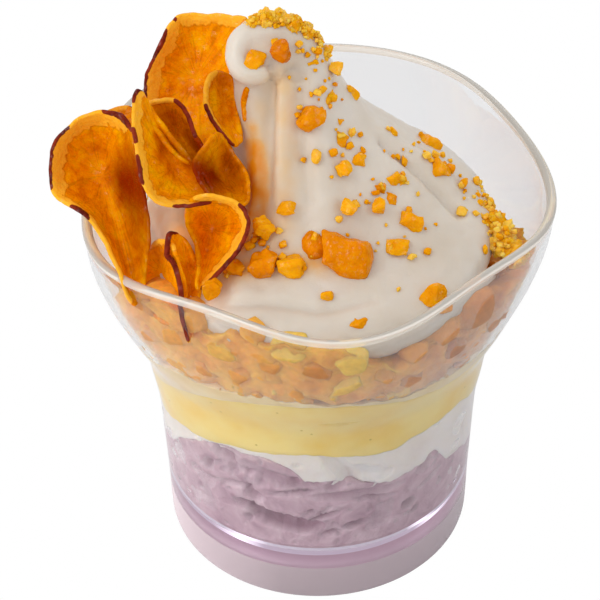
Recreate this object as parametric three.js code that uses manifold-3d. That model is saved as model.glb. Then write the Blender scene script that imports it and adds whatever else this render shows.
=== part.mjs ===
// Sweet potato parfait in a clear dessert cup. Millimetres, +Z up.
// Shapes are laid out about the cup's axis; the finished group is then moved so
// that the origin is the bottom centre of its bounding box.
import * as THREE from 'three';
import { mergeVertices } from 'three/addons/utils/BufferGeometryUtils.js';
import Module from 'manifold-3d';

const wasm = await Module();
wasm.setup();
const { Manifold, Mesh: SolidMesh } = wasm;

const TAU = Math.PI * 2;
const GAP = 0.3; // clearance left between neighbouring pieces

// ---------------------------------------------------------------- the cup
const CUP_HEIGHT = 85.1;
const WALL = 1.5;
const SEGMENTS = 35; // a multiple of five, so every corner of the rim falls on a vertex
const CORNER_ANGLE = -0.178; // direction of one corner of the five-sided rim, radians
const CORNER_SWELL = 0.0356; // how far the corners stand out, as a share of the radius
const CORNER_DROP = 0.955; // corners dip and mid-edges rise by this much
const FLOOR_TOP = 12.3;
const FLOOR_UNDER = 9.4;

// Outer radius of the cup by height.
const CUP_OUTLINE = [
  [0, 30.6], [1.2, 31.0], [11, 31.34], [22, 31.9], [34, 32.6], [42.5, 34.04],
  [49.4, 35.13], [53.5, 36.7], [57.9, 38.78], [63, 40.8], [68.1, 42.63],
  [76.6, 44.58], [82, 45.1], [85.1, 45.28],
];

function outerRadius(z) {
  const last = CUP_OUTLINE.length - 1;
  for (let i = 0; i < last; i += 1) {
    const [z0, r0] = CUP_OUTLINE[i];
    const [z1, r1] = CUP_OUTLINE[i + 1];
    if (z <= z1) {
      const t = Math.max(0, (z - z0) / (z1 - z0));
      return r0 + (r1 - r0) * t;
    }
  }
  return CUP_OUTLINE[last][1];
}

// How strongly the five-sided shape shows at a height: none low down, full at the rim.
function pentagonWeight(z) {
  const t = Math.min(1, Math.max(0, (z / CUP_HEIGHT - 0.5) / 0.5));
  return t * t * (3 - 2 * t);
}

function wallRadius(z, angle, inset) {
  const five = Math.cos(5 * (angle - CORNER_ANGLE));
  return outerRadius(z) * (1 + CORNER_SWELL * pentagonWeight(z) * five) - inset;
}

function rimDrop(z, angle) {
  const five = Math.cos(5 * (angle - CORNER_ANGLE));
  return -CORNER_DROP * five * Math.pow(Math.max(0, (z - 60) / 25), 2);
}

// ---------------------------------------------------------- mesh helpers
function solidFrom(points, triangles) {
  const mesh = new SolidMesh({
    numProp: 3,
    vertProperties: new Float32Array(points.flat()),
    triVerts: new Uint32Array(triangles.flat()),
  });
  mesh.merge();
  let solid = new Manifold(mesh);
  if (solid.volume() < 0) {
    const flipped = triangles.map(([a, b, c]) => [a, c, b]);
    solid = solidFrom(points, flipped);
  }
  return solid;
}

// A closed skin over rings of equal length; each end is closed to its own centre point.
function ringSolid(rings, firstCentre, lastCentre) {
  const n = rings[0].length;
  const points = rings.flat();
  const triangles = [];
  for (let k = 0; k + 1 < rings.length; k += 1) {
    for (let i = 0; i < n; i += 1) {
      const j = (i + 1) % n;
      const a = k * n + i;
      const b = k * n + j;
      triangles.push([a, b, b + n], [a, b + n, a + n]);
    }
  }
  const first = points.length;
  points.push(firstCentre);
  const last = points.length;
  points.push(lastCentre);
  const end = (rings.length - 1) * n;
  for (let i = 0; i < n; i += 1) {
    const j = (i + 1) % n;
    triangles.push([first, j, i], [last, end + i, end + j]);
  }
  return solidFrom(points, triangles);
}

function biggestBody(solid) {
  const bodies = solid.decompose();
  let best = bodies[0];
  for (const body of bodies) {
    if (body.volume() > best.volume()) best = body;
  }
  return best;
}

// Repeatable pseudo-random numbers in 0..1.
function randomSource(seed) {
  let state = seed;
  return () => {
    state = (state * 1664525 + 1013904223) % 4294967296;
    return state / 4294967296;
  };
}

// A value given at a few angles (degrees) round the cup, eased between them.
function around(pairs) {
  return (angle) => {
    const degrees = ((angle * 360) / TAU + 720) % 360;
    const sorted = pairs.map(([a, v]) => [(a + 720) % 360, v]).sort((p, q) => p[0] - q[0]);
    const last = sorted[sorted.length - 1];
    const knots = [[last[0] - 360, last[1]], ...sorted, [sorted[0][0] + 360, sorted[0][1]]];
    for (let i = 0; i + 1 < knots.length; i += 1) {
      const [a0, v0] = knots[i];
      const [a1, v1] = knots[i + 1];
      if (degrees >= a0 && degrees <= a1) {
        const t = (degrees - a0) / (a1 - a0);
        return v0 + (v1 - v0) * t * t * (3 - 2 * t);
      }
    }
    return knots[0][1];
  };
}

// ------------------------------------------------------------ cup solid
function cupRing(radiusOf, z) {
  const ring = [];
  for (let i = 0; i < SEGMENTS; i += 1) {
    const angle = CORNER_ANGLE + (i * TAU) / SEGMENTS;
    const r = radiusOf(angle);
    ring.push([r * Math.cos(angle), r * Math.sin(angle), z + rimDrop(z, angle)]);
  }
  return ring;
}

// The cup is one skin: out under the floor, down inside the hollow foot, up the outside,
// over the rounded rim and down the inside to the floor. `grow` fattens it all round.
function buildCup(grow) {
  const rings = [];
  const add = (z, inset) => rings.push(cupRing((angle) => wallRadius(z, angle, inset), z));
  const round = (z, r) => rings.push(cupRing(() => r, z));
  const under = FLOOR_UNDER - grow;
  round(under, 27.6 - grow);
  round(under - 1.2, 29.0 - grow);
  round(-grow, 29.2 - grow);
  add(-grow, -grow);
  for (const z of [1.2, 34, 42.5, 49.4, 57.9, 68.1, 76.6, 82]) add(z, -grow);
  add(CUP_HEIGHT - 0.5, -0.15 - grow);
  add(CUP_HEIGHT + grow, 0.45);
  add(CUP_HEIGHT + grow, 1.35);
  add(CUP_HEIGHT - 0.5, 1.9 + grow);
  for (const z of [82, 76.6, 68.1, 57.9, 49.4, 42.5, 34]) add(z, WALL + grow);
  add(FLOOR_TOP + 1.4, WALL + grow);
  add(FLOOR_TOP + grow, WALL + 1.2 + grow);
  return ringSolid(rings, [0, 0, under], [0, 0, FLOOR_TOP + grow]);
}

// ------------------------------------------------- layers inside the cup
// Height of each layer's top where it meets the wall, by angle (front is -90).
const PURPLE_EDGE = around([
  [-165, 27], [-148, 33.5], [-133, 38.3], [-122, 40], [-108, 39.5], [-100, 37.8],
  [-90, 34.6], [-75, 32.7], [-62, 31], [-53, 31.4], [-45, 34.2], [-38, 29], [-28, 26],
  [-12, 23], [30, 25], [75, 31], [120, 33], [160, 28],
]);
const WHITE_EDGE = around([
  [-165, 33], [-148, 38], [-133, 40], [-122, 41.6], [-108, 42.5], [-92, 43.3],
  [-76, 41.6], [-64, 40.8], [-55, 42.4], [-38, 43.3], [-20, 40], [30, 38], [100, 41], [160, 35],
]);
const YELLOW_EDGE = around([
  [-165, 44], [-153, 47.5], [-135, 54], [-125, 57], [-114, 59.7], [-104, 61.5],
  [-90, 62.5], [-76, 61.8], [-66, 59.5], [-50, 57], [-38, 56.5], [-20, 57], [60, 57], [130, 54],
]);
const UPPER_EDGE = around([
  [-165, 58], [-140, 60.5], [-121, 62], [-104, 63.3], [-90, 64.2], [-76, 63.3],
  [-66, 61.4], [-50, 60.4], [-30, 60.2], [60, 59.5], [130, 58],
]);
const CRUMB_EDGE = around([
  [-165, 67], [-150, 72], [-138, 76], [-122, 78], [-106, 78.5], [-84, 78.5],
  [-75, 75.5], [-66, 72.5], [-50, 73.5], [-36, 76], [-20, 77.5], [-5, 76], [8, 71],
  [22, 65.5], [45, 62.4], [120, 61.6], [160, 63],
]);

// Each layer surface eases from its edge height to a level middle and is a little uneven.
function surface(edge, middle, rough, seed) {
  return (share, angle) => {
    const ease = share * share * (3 - 2 * share);
    const a = Math.sin(7 * angle + seed) * Math.sin(9 * share + seed);
    const b = Math.sin(12 * angle - seed) * Math.sin(6 * share);
    return middle + (edge(angle) - middle) * ease + rough * share * (a + 0.6 * b) * (1 - share * 0.5);
  };
}

const floorSurface = () => FLOOR_TOP + GAP;
const purpleTop = surface(PURPLE_EDGE, 32, 0.5, 1);
const whiteTop = surface(WHITE_EDGE, 42, 0.2, 2);
const yellowTop = surface(YELLOW_EDGE, 58, 0.15, 3);
const upperTop = surface(UPPER_EDGE, 61.5, 0.2, 4);
const crumbTop = surface(CRUMB_EDGE, 69, 0.7, 5);

const SHARES = [0.45, 0.8, 1];

// A layer is a disc of food between two surfaces, following the wall at its edge.
function buildLayer(under, over, lift, inset) {
  const rings = [];
  const ringAt = (share, height, raise) => {
    const ring = [];
    for (let i = 0; i < SEGMENTS; i += 1) {
      const angle = CORNER_ANGLE + (i * TAU) / SEGMENTS;
      const z = height(share, angle) + raise;
      const r = wallRadius(z, angle, inset) * share;
      ring.push([r * Math.cos(angle), r * Math.sin(angle), z]);
    }
    return ring;
  };
  for (const share of SHARES) rings.push(ringAt(share, under, lift));
  const sideSteps = 3;
  for (let k = 1; k < sideSteps; k += 1) {
    const t = k / sideSteps;
    rings.push(ringAt(1, (s, a) => under(s, a) * (1 - t) + over(s, a) * t, 0));
  }
  for (const share of [...SHARES].reverse()) rings.push(ringAt(share, over, 0));
  return ringSolid(rings, [0, 0, under(0, 0) + lift], [0, 0, over(0, 0)]);
}

const FOOD_INSET = WALL + GAP + 0.35;

function buildPurpleCream() {
  return buildLayer(floorSurface, purpleTop, 0, FOOD_INSET + 0.9);
}

function buildWhiteCream() {
  return buildLayer(purpleTop, whiteTop, 2 * GAP, FOOD_INSET);
}

function buildYellowCream() {
  return buildLayer(whiteTop, yellowTop, GAP, FOOD_INSET);
}

function buildUpperCream() {
  return buildLayer(yellowTop, upperTop, GAP, FOOD_INSET);
}

function buildCrumbLayer() {
  return buildLayer(upperTop, crumbTop, GAP, FOOD_INSET);
}

// ------------------------------------------------------------ soft serve
// Level, centre x, centre y, half-width, half-depth, flute depth of the fluted heap.
const HEAP = [
  [66, 1, -6, 20, 21, 0],
  [73, 1, -6, 31, 33, 0.1],
  [78, 0.5, -6.5, 33.2, 35.6, 0.2],
  [80.4, 0.3, -6.5, 33.4, 34.6, 0.3],
  [82.4, 0, -5, 32.4, 31, 0.4],
  [84.4, -0.4, -3.2, 31, 27, 0.6],
  [86.6, -1, -2.4, 28.4, 24, 0.9],
  [89.4, -1.8, -1.6, 25, 21.6, 1.2],
  [92.8, -2.6, -0.8, 21.2, 19, 1.4],
  [96.4, -3.6, 0.4, 17.2, 16.4, 1.4],
  [100, -4.6, 1.6, 13.8, 14, 1.2],
  [104, -5.6, 2.6, 11.2, 12, 1],
  [108, -6.4, 3.8, 9.4, 10.2, 0.8],
  [112, -7, 4.6, 8, 8.8, 0.6],
];
const FLUTES = 7;
const HEAP_SEGMENTS = 26;

function heapRing([z, cx, cy, rx, ry, flute]) {
  const ring = [];
  for (let i = 0; i < HEAP_SEGMENTS; i += 1) {
    const angle = (i * TAU) / HEAP_SEGMENTS;
    const wave = Math.cos(FLUTES * (angle + 0.012 * (z - 90)) + 0.6);
    const x = cx + (rx + flute * wave) * Math.cos(angle);
    const y = cy + (ry + flute * wave) * Math.sin(angle);
    ring.push([x, y, z]);
  }
  return ring;
}

// The drawn-out tip folds over to the front left: centre, half-width, half-height.
const TIP = [
  [-5.6, 5.4, 104, 8.2, 8.4],
  [-6, 6, 109.6, 8.2, 7.6],
  [-6.8, 5, 113.6, 7.8, 5.8],
  [-8.2, 2.6, 115.4, 7.2, 4.6],
  [-10, -0.6, 115, 6.4, 3.8],
  [-11.4, -3.2, 113, 5.4, 3],
  [-12, -4.8, 110, 3.8, 1.8],
];
const TIP_SEGMENTS = 12;

function tipRing(index) {
  const [x, y, z, wide, high] = TIP[index];
  const before = new THREE.Vector3(...TIP[Math.max(0, index - 1)].slice(0, 3));
  const after = new THREE.Vector3(...TIP[Math.min(TIP.length - 1, index + 1)].slice(0, 3));
  const along = after.sub(before).normalize();
  const side = new THREE.Vector3(0.86, -0.5, 0);
  side.addScaledVector(along, -side.dot(along)).normalize();
  const up = new THREE.Vector3().crossVectors(along, side);
  const ring = [];
  for (let i = 0; i < TIP_SEGMENTS; i += 1) {
    const angle = (i * TAU) / TIP_SEGMENTS;
    const a = wide * Math.cos(angle);
    const b = high * Math.sin(angle);
    ring.push([x + side.x * a + up.x * b, y + side.y * a + up.y * b, z + side.z * a + up.z * b]);
  }
  return ring;
}

function buildSoftServe() {
  const rings = HEAP.map(heapRing);
  const top = HEAP[HEAP.length - 1];
  const heap = ringSolid(rings, [HEAP[0][1], HEAP[0][2], HEAP[0][0]], [top[1], top[2], top[0] + 1]);
  const tipRings = TIP.map((_, index) => tipRing(index));
  const first = TIP[0];
  const last = TIP[TIP.length - 1];
  const tip = ringSolid(tipRings, first.slice(0, 3), [last[0] - 0.3, last[1] - 0.6, last[2] - 1.4]);
  return heap.add(tip);
}

// ------------------------------------------------------------ the chips
// Each chip is a thin curled slice given by eight points on its outline and its middle.
// The outline's waves (its harmonics) fade towards the middle, which curls the slice.
const CHIPS = {
  chip_back: [
    [-14.5, 5, 108], [-12.5, 9, 117], [-20.5, 14, 115], [-27, 13, 114], [-31, 9, 107.5],
    [-32, 4, 101], [-26, -3, 93.5], [-17, -4, 98.5], [-22.5, 11, 102],
  ],
  chip_left: [
    [-31.5, -22, 89.5], [-33, -15, 102.5], [-35.5, -7, 106.5], [-43.5, -4, 104.5], [-50, -8, 98],
    [-47.5, -15, 92.5], [-39.5, -23, 90], [-34.5, -30, 80], [-40.5, -4, 90],
  ],
  chip_behind: [
    [-33.5, 3, 100], [-34.5, 4, 100.5], [-37, 5, 100], [-40, 4, 99.5], [-40.5, 3, 99],
    [-39, 2, 97], [-36.5, 1, 96.5], [-34.5, 2, 98], [-37, 3, 98.5],
  ],
  chip_front: [
    [-19, -20, 98], [-24, -14, 103.5], [-29.5, -10, 109], [-32.5, -9.5, 115], [-33.5, -15, 111.5],
    [-32.5, -20, 105.5], [-30.5, -24, 100.5], [-24, -23.5, 98.5], [-27, -13, 99.5],
  ],
  chip_curl: [
    [-12.5, -25, 95.5], [-14.5, -23, 98.5], [-18.5, -22.5, 100], [-23.5, -22, 98], [-23.5, -22, 90],
    [-22, -28, 88], [-22, -31.5, 85], [-16, -28.5, 89.5], [-19.5, -17, 87.5],
  ],
  chip_fold: [
    [-22, -12.5, 106], [-24.5, -7.5, 109], [-28.5, -6, 110], [-31.5, -7.5, 109.5], [-31.5, -10, 108],
    [-28, -13, 105.5], [-23.5, -15, 101.5], [-20.5, -14, 102.5], [-26.5, -3.5, 101],
  ],
  chip_inner: [
    [-12.5, -19, 96.5], [-13.5, -13, 99], [-16, -9.5, 101], [-18, -12, 106.5], [-21, -15.5, 105.5],
    [-22.5, -18, 103], [-19.5, -20.5, 98], [-15, -21, 96], [-17.5, -9.5, 94.5],
  ],
  chip_slim: [
    [-15, -3, 105.5], [-15, 0, 108.5], [-17.5, 1, 111], [-20, -2, 111.5], [-20.5, -5.5, 109],
    [-18.5, -8.5, 105.5], [-15, -9.5, 101.5], [-14, -7, 103], [-17.5, -1, 105],
  ],
  chip_sliver: [
    [-11.6, -2.6, 107], [-11.8, -2.6, 108.8], [-12.4, -3, 110], [-13.2, -3.4, 109], [-13.6, -4, 107],
    [-13.6, -4.8, 105], [-13.2, -5.4, 104], [-12.2, -4, 105], [-12.6, -3.4, 107],
  ],
  chip_low_left: [
    [-25.5, -29, 88.5], [-27, -25, 90.5], [-29.5, -22, 89], [-32, -20, 84.5], [-33, -22, 81],
    [-32, -27, 78.5], [-28, -31.5, 77], [-24.5, -31, 81.5], [-29, -22, 81.5],
  ],
  chip_low_right: [
    [-22, -28.5, 83], [-23.5, -23, 87.5], [-26.5, -22, 91], [-28, -25, 91.5], [-28, -27, 89],
    [-26, -31, 88], [-24.5, -36, 77], [-23, -33, 78], [-25, -25, 84.5],
  ],
};
const CHIP_THICKNESS = 1.2;
const CHIP_CLEARANCE = 0.45;
const CHIP_SEGMENTS = 14;
const CHIP_RINGS = [0.55, 1];

function outlineHarmonics(points) {
  const middle = new THREE.Vector3(...points[8]);
  const waves = [];
  for (let k = 0; k <= 4; k += 1) {
    const cosine = new THREE.Vector3();
    const sine = new THREE.Vector3();
    for (let i = 0; i < 8; i += 1) {
      const point = new THREE.Vector3(...points[i]);
      const angle = (i * TAU) / 8;
      const scale = k === 0 || k === 4 ? 1 / 8 : 1 / 4;
      cosine.addScaledVector(point, scale * Math.cos(k * angle));
      sine.addScaledVector(point, scale * Math.sin(k * angle));
    }
    waves.push([cosine, sine]);
  }
  return { middle, waves };
}

function chipPoint({ middle, waves }, share, angle) {
  const point = middle.clone().multiplyScalar(1 - share * share);
  point.addScaledVector(waves[0][0], share * share);
  for (let k = 1; k <= 4; k += 1) {
    const reach = Math.pow(share, k);
    point.addScaledVector(waves[k][0], reach * Math.cos(k * angle));
    point.addScaledVector(waves[k][1], reach * Math.sin(k * angle));
  }
  return point;
}

function chipNormal(shape, share, angle) {
  const step = 0.02;
  const x = share * Math.cos(angle);
  const y = share * Math.sin(angle);
  const at = (dx, dy) => {
    const px = x + dx;
    const py = y + dy;
    return chipPoint(shape, Math.hypot(px, py), Math.atan2(py, px));
  };
  const alongX = at(step, 0).sub(at(-step, 0));
  const alongY = at(0, step).sub(at(0, -step));
  return alongX.cross(alongY).normalize();
}

function buildChip(points, grow) {
  const shape = outlineHarmonics(points);
  const half = CHIP_THICKNESS / 2 + grow;
  const reach = 1 + grow / 7;
  const sheet = (side) => CHIP_RINGS.map((share) => {
    const ring = [];
    for (let i = 0; i < CHIP_SEGMENTS; i += 1) {
      const angle = (i * TAU) / CHIP_SEGMENTS;
      const point = chipPoint(shape, share * reach, angle);
      point.addScaledVector(chipNormal(shape, share * 0.98, angle), side * half);
      ring.push([point.x, point.y, point.z]);
    }
    return ring;
  });
  const centre = (side) => {
    const point = shape.middle.clone().addScaledVector(chipNormal(shape, 0, 0), side * half);
    return [point.x, point.y, point.z];
  };
  const rings = [...sheet(-1), ...sheet(1).reverse()];
  return ringSolid(rings, centre(-1), centre(1));
}

// -------------------------------------------------- candied sweet potato
// Name, centre and size of every larger candied piece lying on the soft serve.
const PIECES = [
  ['candied_tip', -5.7, -3, 118.8, 4.2, 3.8, 4.4],
  ['candied_crest', -0.9, -7.8, 106, 5.2, 4.8, 4.8],
  ['candied_ridge', 6.4, 3.2, 103.2, 4.4, 3.6, 2.8],
  ['candied_middle', 14.4, -10, 92.8, 3.8, 3.8, 3.8],
  ['candied_right_high', 22.4, 6.4, 88.4, 5.2, 4.6, 3.4],
  ['candied_right_low', 23.2, -3, 89.6, 4.2, 3.8, 3.8],
  ['candied_flank', 17.8, -17.3, 88.4, 4.6, 4.2, 4.2],
  ['candied_flank_low', 14.8, -22, 86.8, 4.6, 3.4, 2.4],
  ['candied_chunk', 5.6, -24.6, 88.2, 8.6, 7.8, 7.6],
  ['candied_chunk_side', -0.6, -24.2, 88, 4, 4.5, 4.6],
  ['candied_foot_a', -4.9, -26.8, 86.4, 4.6, 4.6, 4.4],
  ['candied_foot_b', -10, -26.8, 86.8, 5, 4.8, 5],
  ['candied_foot_c', -15.6, -26, 85.2, 3.6, 3.4, 3],
  ['candied_foot_d', -9.8, -21.8, 91.4, 3.4, 3.4, 3.2],
  ['candied_corner', 21.6, -31.2, 81.6, 5.2, 4.8, 6],
  ['candied_ledge', 7.6, -37.8, 81.4, 4, 3.2, 2.2],
];

// A lump is a three.js solid whose corners are pushed in or out by up to `uneven`.
function lumpSolid(geometry, uneven, random) {
  geometry.deleteAttribute('normal');
  geometry.deleteAttribute('uv');
  const merged = mergeVertices(geometry, 1e-4);
  const position = merged.getAttribute('position');
  const points = [];
  for (let i = 0; i < position.count; i += 1) {
    const scale = 1 - uneven * random();
    points.push([position.getX(i) * scale, position.getY(i) * scale, position.getZ(i) * scale]);
  }
  const index = merged.getIndex().array;
  const triangles = [];
  for (let i = 0; i < index.length; i += 3) triangles.push([index[i], index[i + 1], index[i + 2]]);
  return solidFrom(points, triangles);
}

function buildCandied(index, grow) {
  const [, x, y, z, wide, deep, high] = PIECES[index];
  const random = randomSource(101 + 17 * index);
  const box = new THREE.BoxGeometry(wide + 2 * grow, deep + 2 * grow, high + 2 * grow);
  box.rotateZ(random() * TAU);
  return lumpSolid(box, 0.26, random).translate([x, y, z]);
}

// Heaps of small crumbs, each a row of overlapping lumps: centre and radius.
const TIP_CRUMBLE = [
  [-13.2, 2.4, 116.4, 1.8], [-11.2, 3.6, 118.6, 2], [-9.2, 4.6, 120, 2.2],
  [-6.6, 5, 119.8, 2.1], [-4, 5, 119.2, 2.1], [-1.6, 4.8, 118.2, 2.1], [0.2, 4, 116, 2],
  [1.8, 3.8, 113.4, 1.8],
];
const SIDE_CRUMBLE = [
  [30.2, 0.4, 80.6, 2.8], [31.6, -3.8, 80.6, 3.2], [33.4, -8.4, 80.2, 3.4],
  [35.6, -12.4, 79.6, 3.4], [37.2, -15.4, 79, 2.8],
];

function buildCrumble(lumps, grow) {
  const random = randomSource(7);
  let heap = null;
  for (const [x, y, z, radius] of lumps) {
    const ball = new THREE.IcosahedronGeometry(radius * 1.15 + grow);
    const lump = lumpSolid(ball, 0.3, random).translate([x, y, z]);
    heap = heap ? heap.add(lump) : lump;
  }
  return heap;
}

// ------------------------------------------------------------- materials
function material(name, colour, roughness, extra = {}) {
  const made = new THREE.MeshStandardMaterial({ color: colour, roughness, ...extra });
  made.name = name;
  return made;
}

const MATERIALS = {
  clear: material('clear_plastic', 0xdde3e8, 0.08, { transparent: true, opacity: 0.35 }),
  purple: material('purple_cream', 0xb2989f, 0.7),
  white: material('white_cream', 0xe8e2da, 0.6),
  yellow: material('yellow_cream', 0xdcc48c, 0.5),
  cake: material('cake_crumbs', 0xd2a05a, 0.9),
  serve: material('soft_serve', 0xf0e9de, 0.45),
  chip: material('sweet_potato_chip', 0xd9820e, 0.35),
  candied: material('candied_sweet_potato', 0xe0a018, 0.4),
};

// -------------------------------------------------------------- assembly
function toMesh(name, solid, skin) {
  const mesh = solid.getMesh();
  const geometry = new THREE.BufferGeometry();
  const positions = new Float32Array(mesh.numVert * 3);
  for (let i = 0; i < mesh.numVert; i += 1) {
    for (let k = 0; k < 3; k += 1) {
      positions[3 * i + k] = mesh.vertProperties[i * mesh.numProp + k];
    }
  }
  geometry.setAttribute('position', new THREE.BufferAttribute(positions, 3));
  geometry.setIndex(new THREE.BufferAttribute(new Uint32Array(mesh.triVerts), 1));
  geometry.computeVertexNormals();
  const made = new THREE.Mesh(geometry, skin);
  made.name = name;
  return made;
}

function assemble() {
  const placed = [];
  const cutters = [];
  const place = (name, skin, solid, cutter, spared = [], coarse = 0.08) => {
    let rest = solid;
    for (const other of cutters) {
      if (!spared.includes(other)) rest = rest.subtract(other);
    }
    rest = biggestBody(coarse > 0 ? rest.simplify(coarse) : rest);
    placed.push([name, rest, skin]);
    if (cutter) cutters.push(cutter);
  };
  placed.push(['cup', buildCup(0), MATERIALS.clear]);
  const cupCutter = buildCup(GAP);
  cutters.push(cupCutter);
  for (const [name, points] of Object.entries(CHIPS)) {
    const chip = buildChip(points, 0);
    place(name, MATERIALS.chip, chip, buildChip(points, CHIP_CLEARANCE).add(chip));
  }
  PIECES.forEach(([name], index) => {
    place(name, MATERIALS.candied, buildCandied(index, 0), buildCandied(index, GAP));
  });
  const crumble = (name, lumps) => {
    place(name, MATERIALS.candied, buildCrumble(lumps, 0), buildCrumble(lumps, GAP));
  };
  crumble('tip_crumble', TIP_CRUMBLE);
  crumble('side_crumble', SIDE_CRUMBLE);
  const crumbs = buildLayer(upperTop, (s, a) => crumbTop(s, a) + GAP, GAP, FOOD_INSET - GAP);
  // The layers are drawn clear of the wall already, so the cup doesn't cut them.
  const layer = (name, skin, solid, cutter) => place(name, skin, solid, cutter, [cupCutter], 0);
  layer('purple_cream', MATERIALS.purple, buildPurpleCream());
  layer('white_cream', MATERIALS.white, buildWhiteCream());
  layer('yellow_cream', MATERIALS.yellow, buildYellowCream());
  layer('upper_cream', MATERIALS.white, buildUpperCream());
  layer('cake_crumbs', MATERIALS.cake, buildCrumbLayer(), crumbs);
  place('soft_serve', MATERIALS.serve, buildSoftServe(), null, [], 0.15);
  const parfait = new THREE.Group();
  for (const [name, solid, skin] of placed) parfait.add(toMesh(name, solid, skin));
  const box = new THREE.Box3().setFromObject(parfait);
  parfait.position.set(-(box.min.x + box.max.x) / 2, -(box.min.y + box.max.y) / 2, -box.min.z);
  const group = new THREE.Group();
  group.name = 'sweet_potato_parfait';
  group.add(parfait);
  return group;
}

export default assemble();
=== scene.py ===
import math

import bmesh
import bpy
import numpy as np
from mathutils import Matrix, Vector, noise
from mathutils.bvhtree import BVHTree
from mathutils.kdtree import KDTree


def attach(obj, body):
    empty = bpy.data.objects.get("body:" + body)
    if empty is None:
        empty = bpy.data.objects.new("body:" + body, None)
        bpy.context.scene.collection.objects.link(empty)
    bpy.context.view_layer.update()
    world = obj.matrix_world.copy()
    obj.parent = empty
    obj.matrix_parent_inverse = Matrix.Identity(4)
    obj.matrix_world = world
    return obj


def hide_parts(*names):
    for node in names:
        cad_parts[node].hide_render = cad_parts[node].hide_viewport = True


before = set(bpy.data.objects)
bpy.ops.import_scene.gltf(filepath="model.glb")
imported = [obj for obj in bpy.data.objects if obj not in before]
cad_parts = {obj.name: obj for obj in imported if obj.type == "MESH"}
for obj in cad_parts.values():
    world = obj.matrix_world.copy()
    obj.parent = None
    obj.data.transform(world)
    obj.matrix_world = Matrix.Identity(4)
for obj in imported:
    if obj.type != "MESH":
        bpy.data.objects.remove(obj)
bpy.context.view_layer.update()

MM = 0.001
TAU = math.tau


def cup_axis():
    """The cup's axis in the row frame: the middle of the round ring it stands on."""
    points = [v.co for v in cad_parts["cup"].data.vertices if v.co.z < 0.05 * MM]
    ring = {(round(p.x, 6), round(p.y, 6)) for p in points}
    return np.array([np.mean([p[0] for p in ring]), np.mean([p[1] for p in ring]), 0.0])


AXIS = cup_axis()


# ------------------------------------------------------------------ curves
def smooth_curve(knots):
    """A smooth curve through (x, y) knots that never overshoots them."""
    xs = np.array([knot[0] for knot in knots], float)
    ys = np.array([knot[1] for knot in knots], float)
    steps = np.diff(xs)
    slopes = np.diff(ys) / steps
    tangents = np.zeros_like(ys)
    tangents[0] = slopes[0]
    tangents[-1] = slopes[-1]
    for i in range(1, len(xs) - 1):
        if slopes[i - 1] * slopes[i] > 0:
            tangents[i] = 2 * slopes[i - 1] * slopes[i] / (slopes[i - 1] + slopes[i])

    def at(x):
        x = np.clip(np.asarray(x, float), xs[0], xs[-1])
        i = np.clip(np.searchsorted(xs, x, side="right") - 1, 0, len(steps) - 1)
        t = (x - xs[i]) / steps[i]
        rise = ys[i + 1] - ys[i]
        start = tangents[i] * steps[i]
        end = tangents[i + 1] * steps[i]
        bend = 3 * rise - 2 * start - end
        twist = start + end - 2 * rise
        return ys[i] + start * t + bend * t**2 + twist * t**3

    return at


def around(pairs):
    """A value given at a few angles (degrees) round the cup, smooth between them."""
    turned = sorted(((angle + 720) % 360, value) for angle, value in pairs)
    knots = [(angle - 360, value) for angle, value in turned[-3:]]
    knots += turned
    knots += [(angle + 360, value) for angle, value in turned[:3]]
    curve = smooth_curve(knots)

    def at(angle):
        return curve((np.degrees(angle) + 720) % 360)

    return at


def bumps(points, size, seed, octaves):
    """Smooth noise of about -1..1 at each point, with features of about `size`."""
    shift = Vector((7.3 * seed, 3.1 * seed, -5.7 * seed))
    return np.array([noise.fractal(Vector(p) / size + shift, 1.0, 2.0, octaves) for p in points])


# ------------------------------------------------------------ mesh helpers
def full_turn(count):
    """Angles at equal steps all round."""
    return np.arange(count) * TAU / count


def circle(angle, z, radius=1.0):
    """Points at the given angles, height and distance from the axis."""
    places = np.broadcast_arrays(radius * np.cos(angle), radius * np.sin(angle), z)
    return np.stack(places, axis=-1)


def polar(points):
    """Each point's distance from the axis and its angle round it."""
    return np.hypot(points[:, 0], points[:, 1]), np.arctan2(points[:, 1], points[:, 0])


def shifted(faces, count):
    """Faces whose points come after `count` others."""
    return [[index + count for index in face] for face in faces]


def ring_skin(rings, first, last):
    """Points and faces of a skin over equal rings, closed at each end to a centre point."""
    rings = np.asarray(rings, float)
    levels, n = rings.shape[:2]
    points = np.vstack([rings.reshape(-1, 3), first, last])
    i = np.arange(n)
    j = (i + 1) % n
    faces = []
    for level in range(levels - 1):
        low = level * n
        high = low + n
        faces += np.column_stack([low + i, low + j, high + j, high + i]).tolist()
    centre = levels * n
    end = (levels - 1) * n
    faces += np.column_stack([np.full(n, centre), j, i]).tolist()
    faces += np.column_stack([np.full(n, centre + 1), end + i, end + j]).tolist()
    return points, faces


def add_values(mesh, name, values):
    """A number, or a vector, at each of the mesh's points, for its material to read."""
    single = np.ndim(values) == 1
    layer = mesh.attributes.new(name, "FLOAT" if single else "FLOAT_VECTOR", "POINT")
    layer.data.foreach_set("value" if single else "vector", np.ravel(values))


def add_object(name, data):
    obj = bpy.data.objects.new(name, data)
    bpy.context.scene.collection.objects.link(obj)
    return obj


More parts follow.
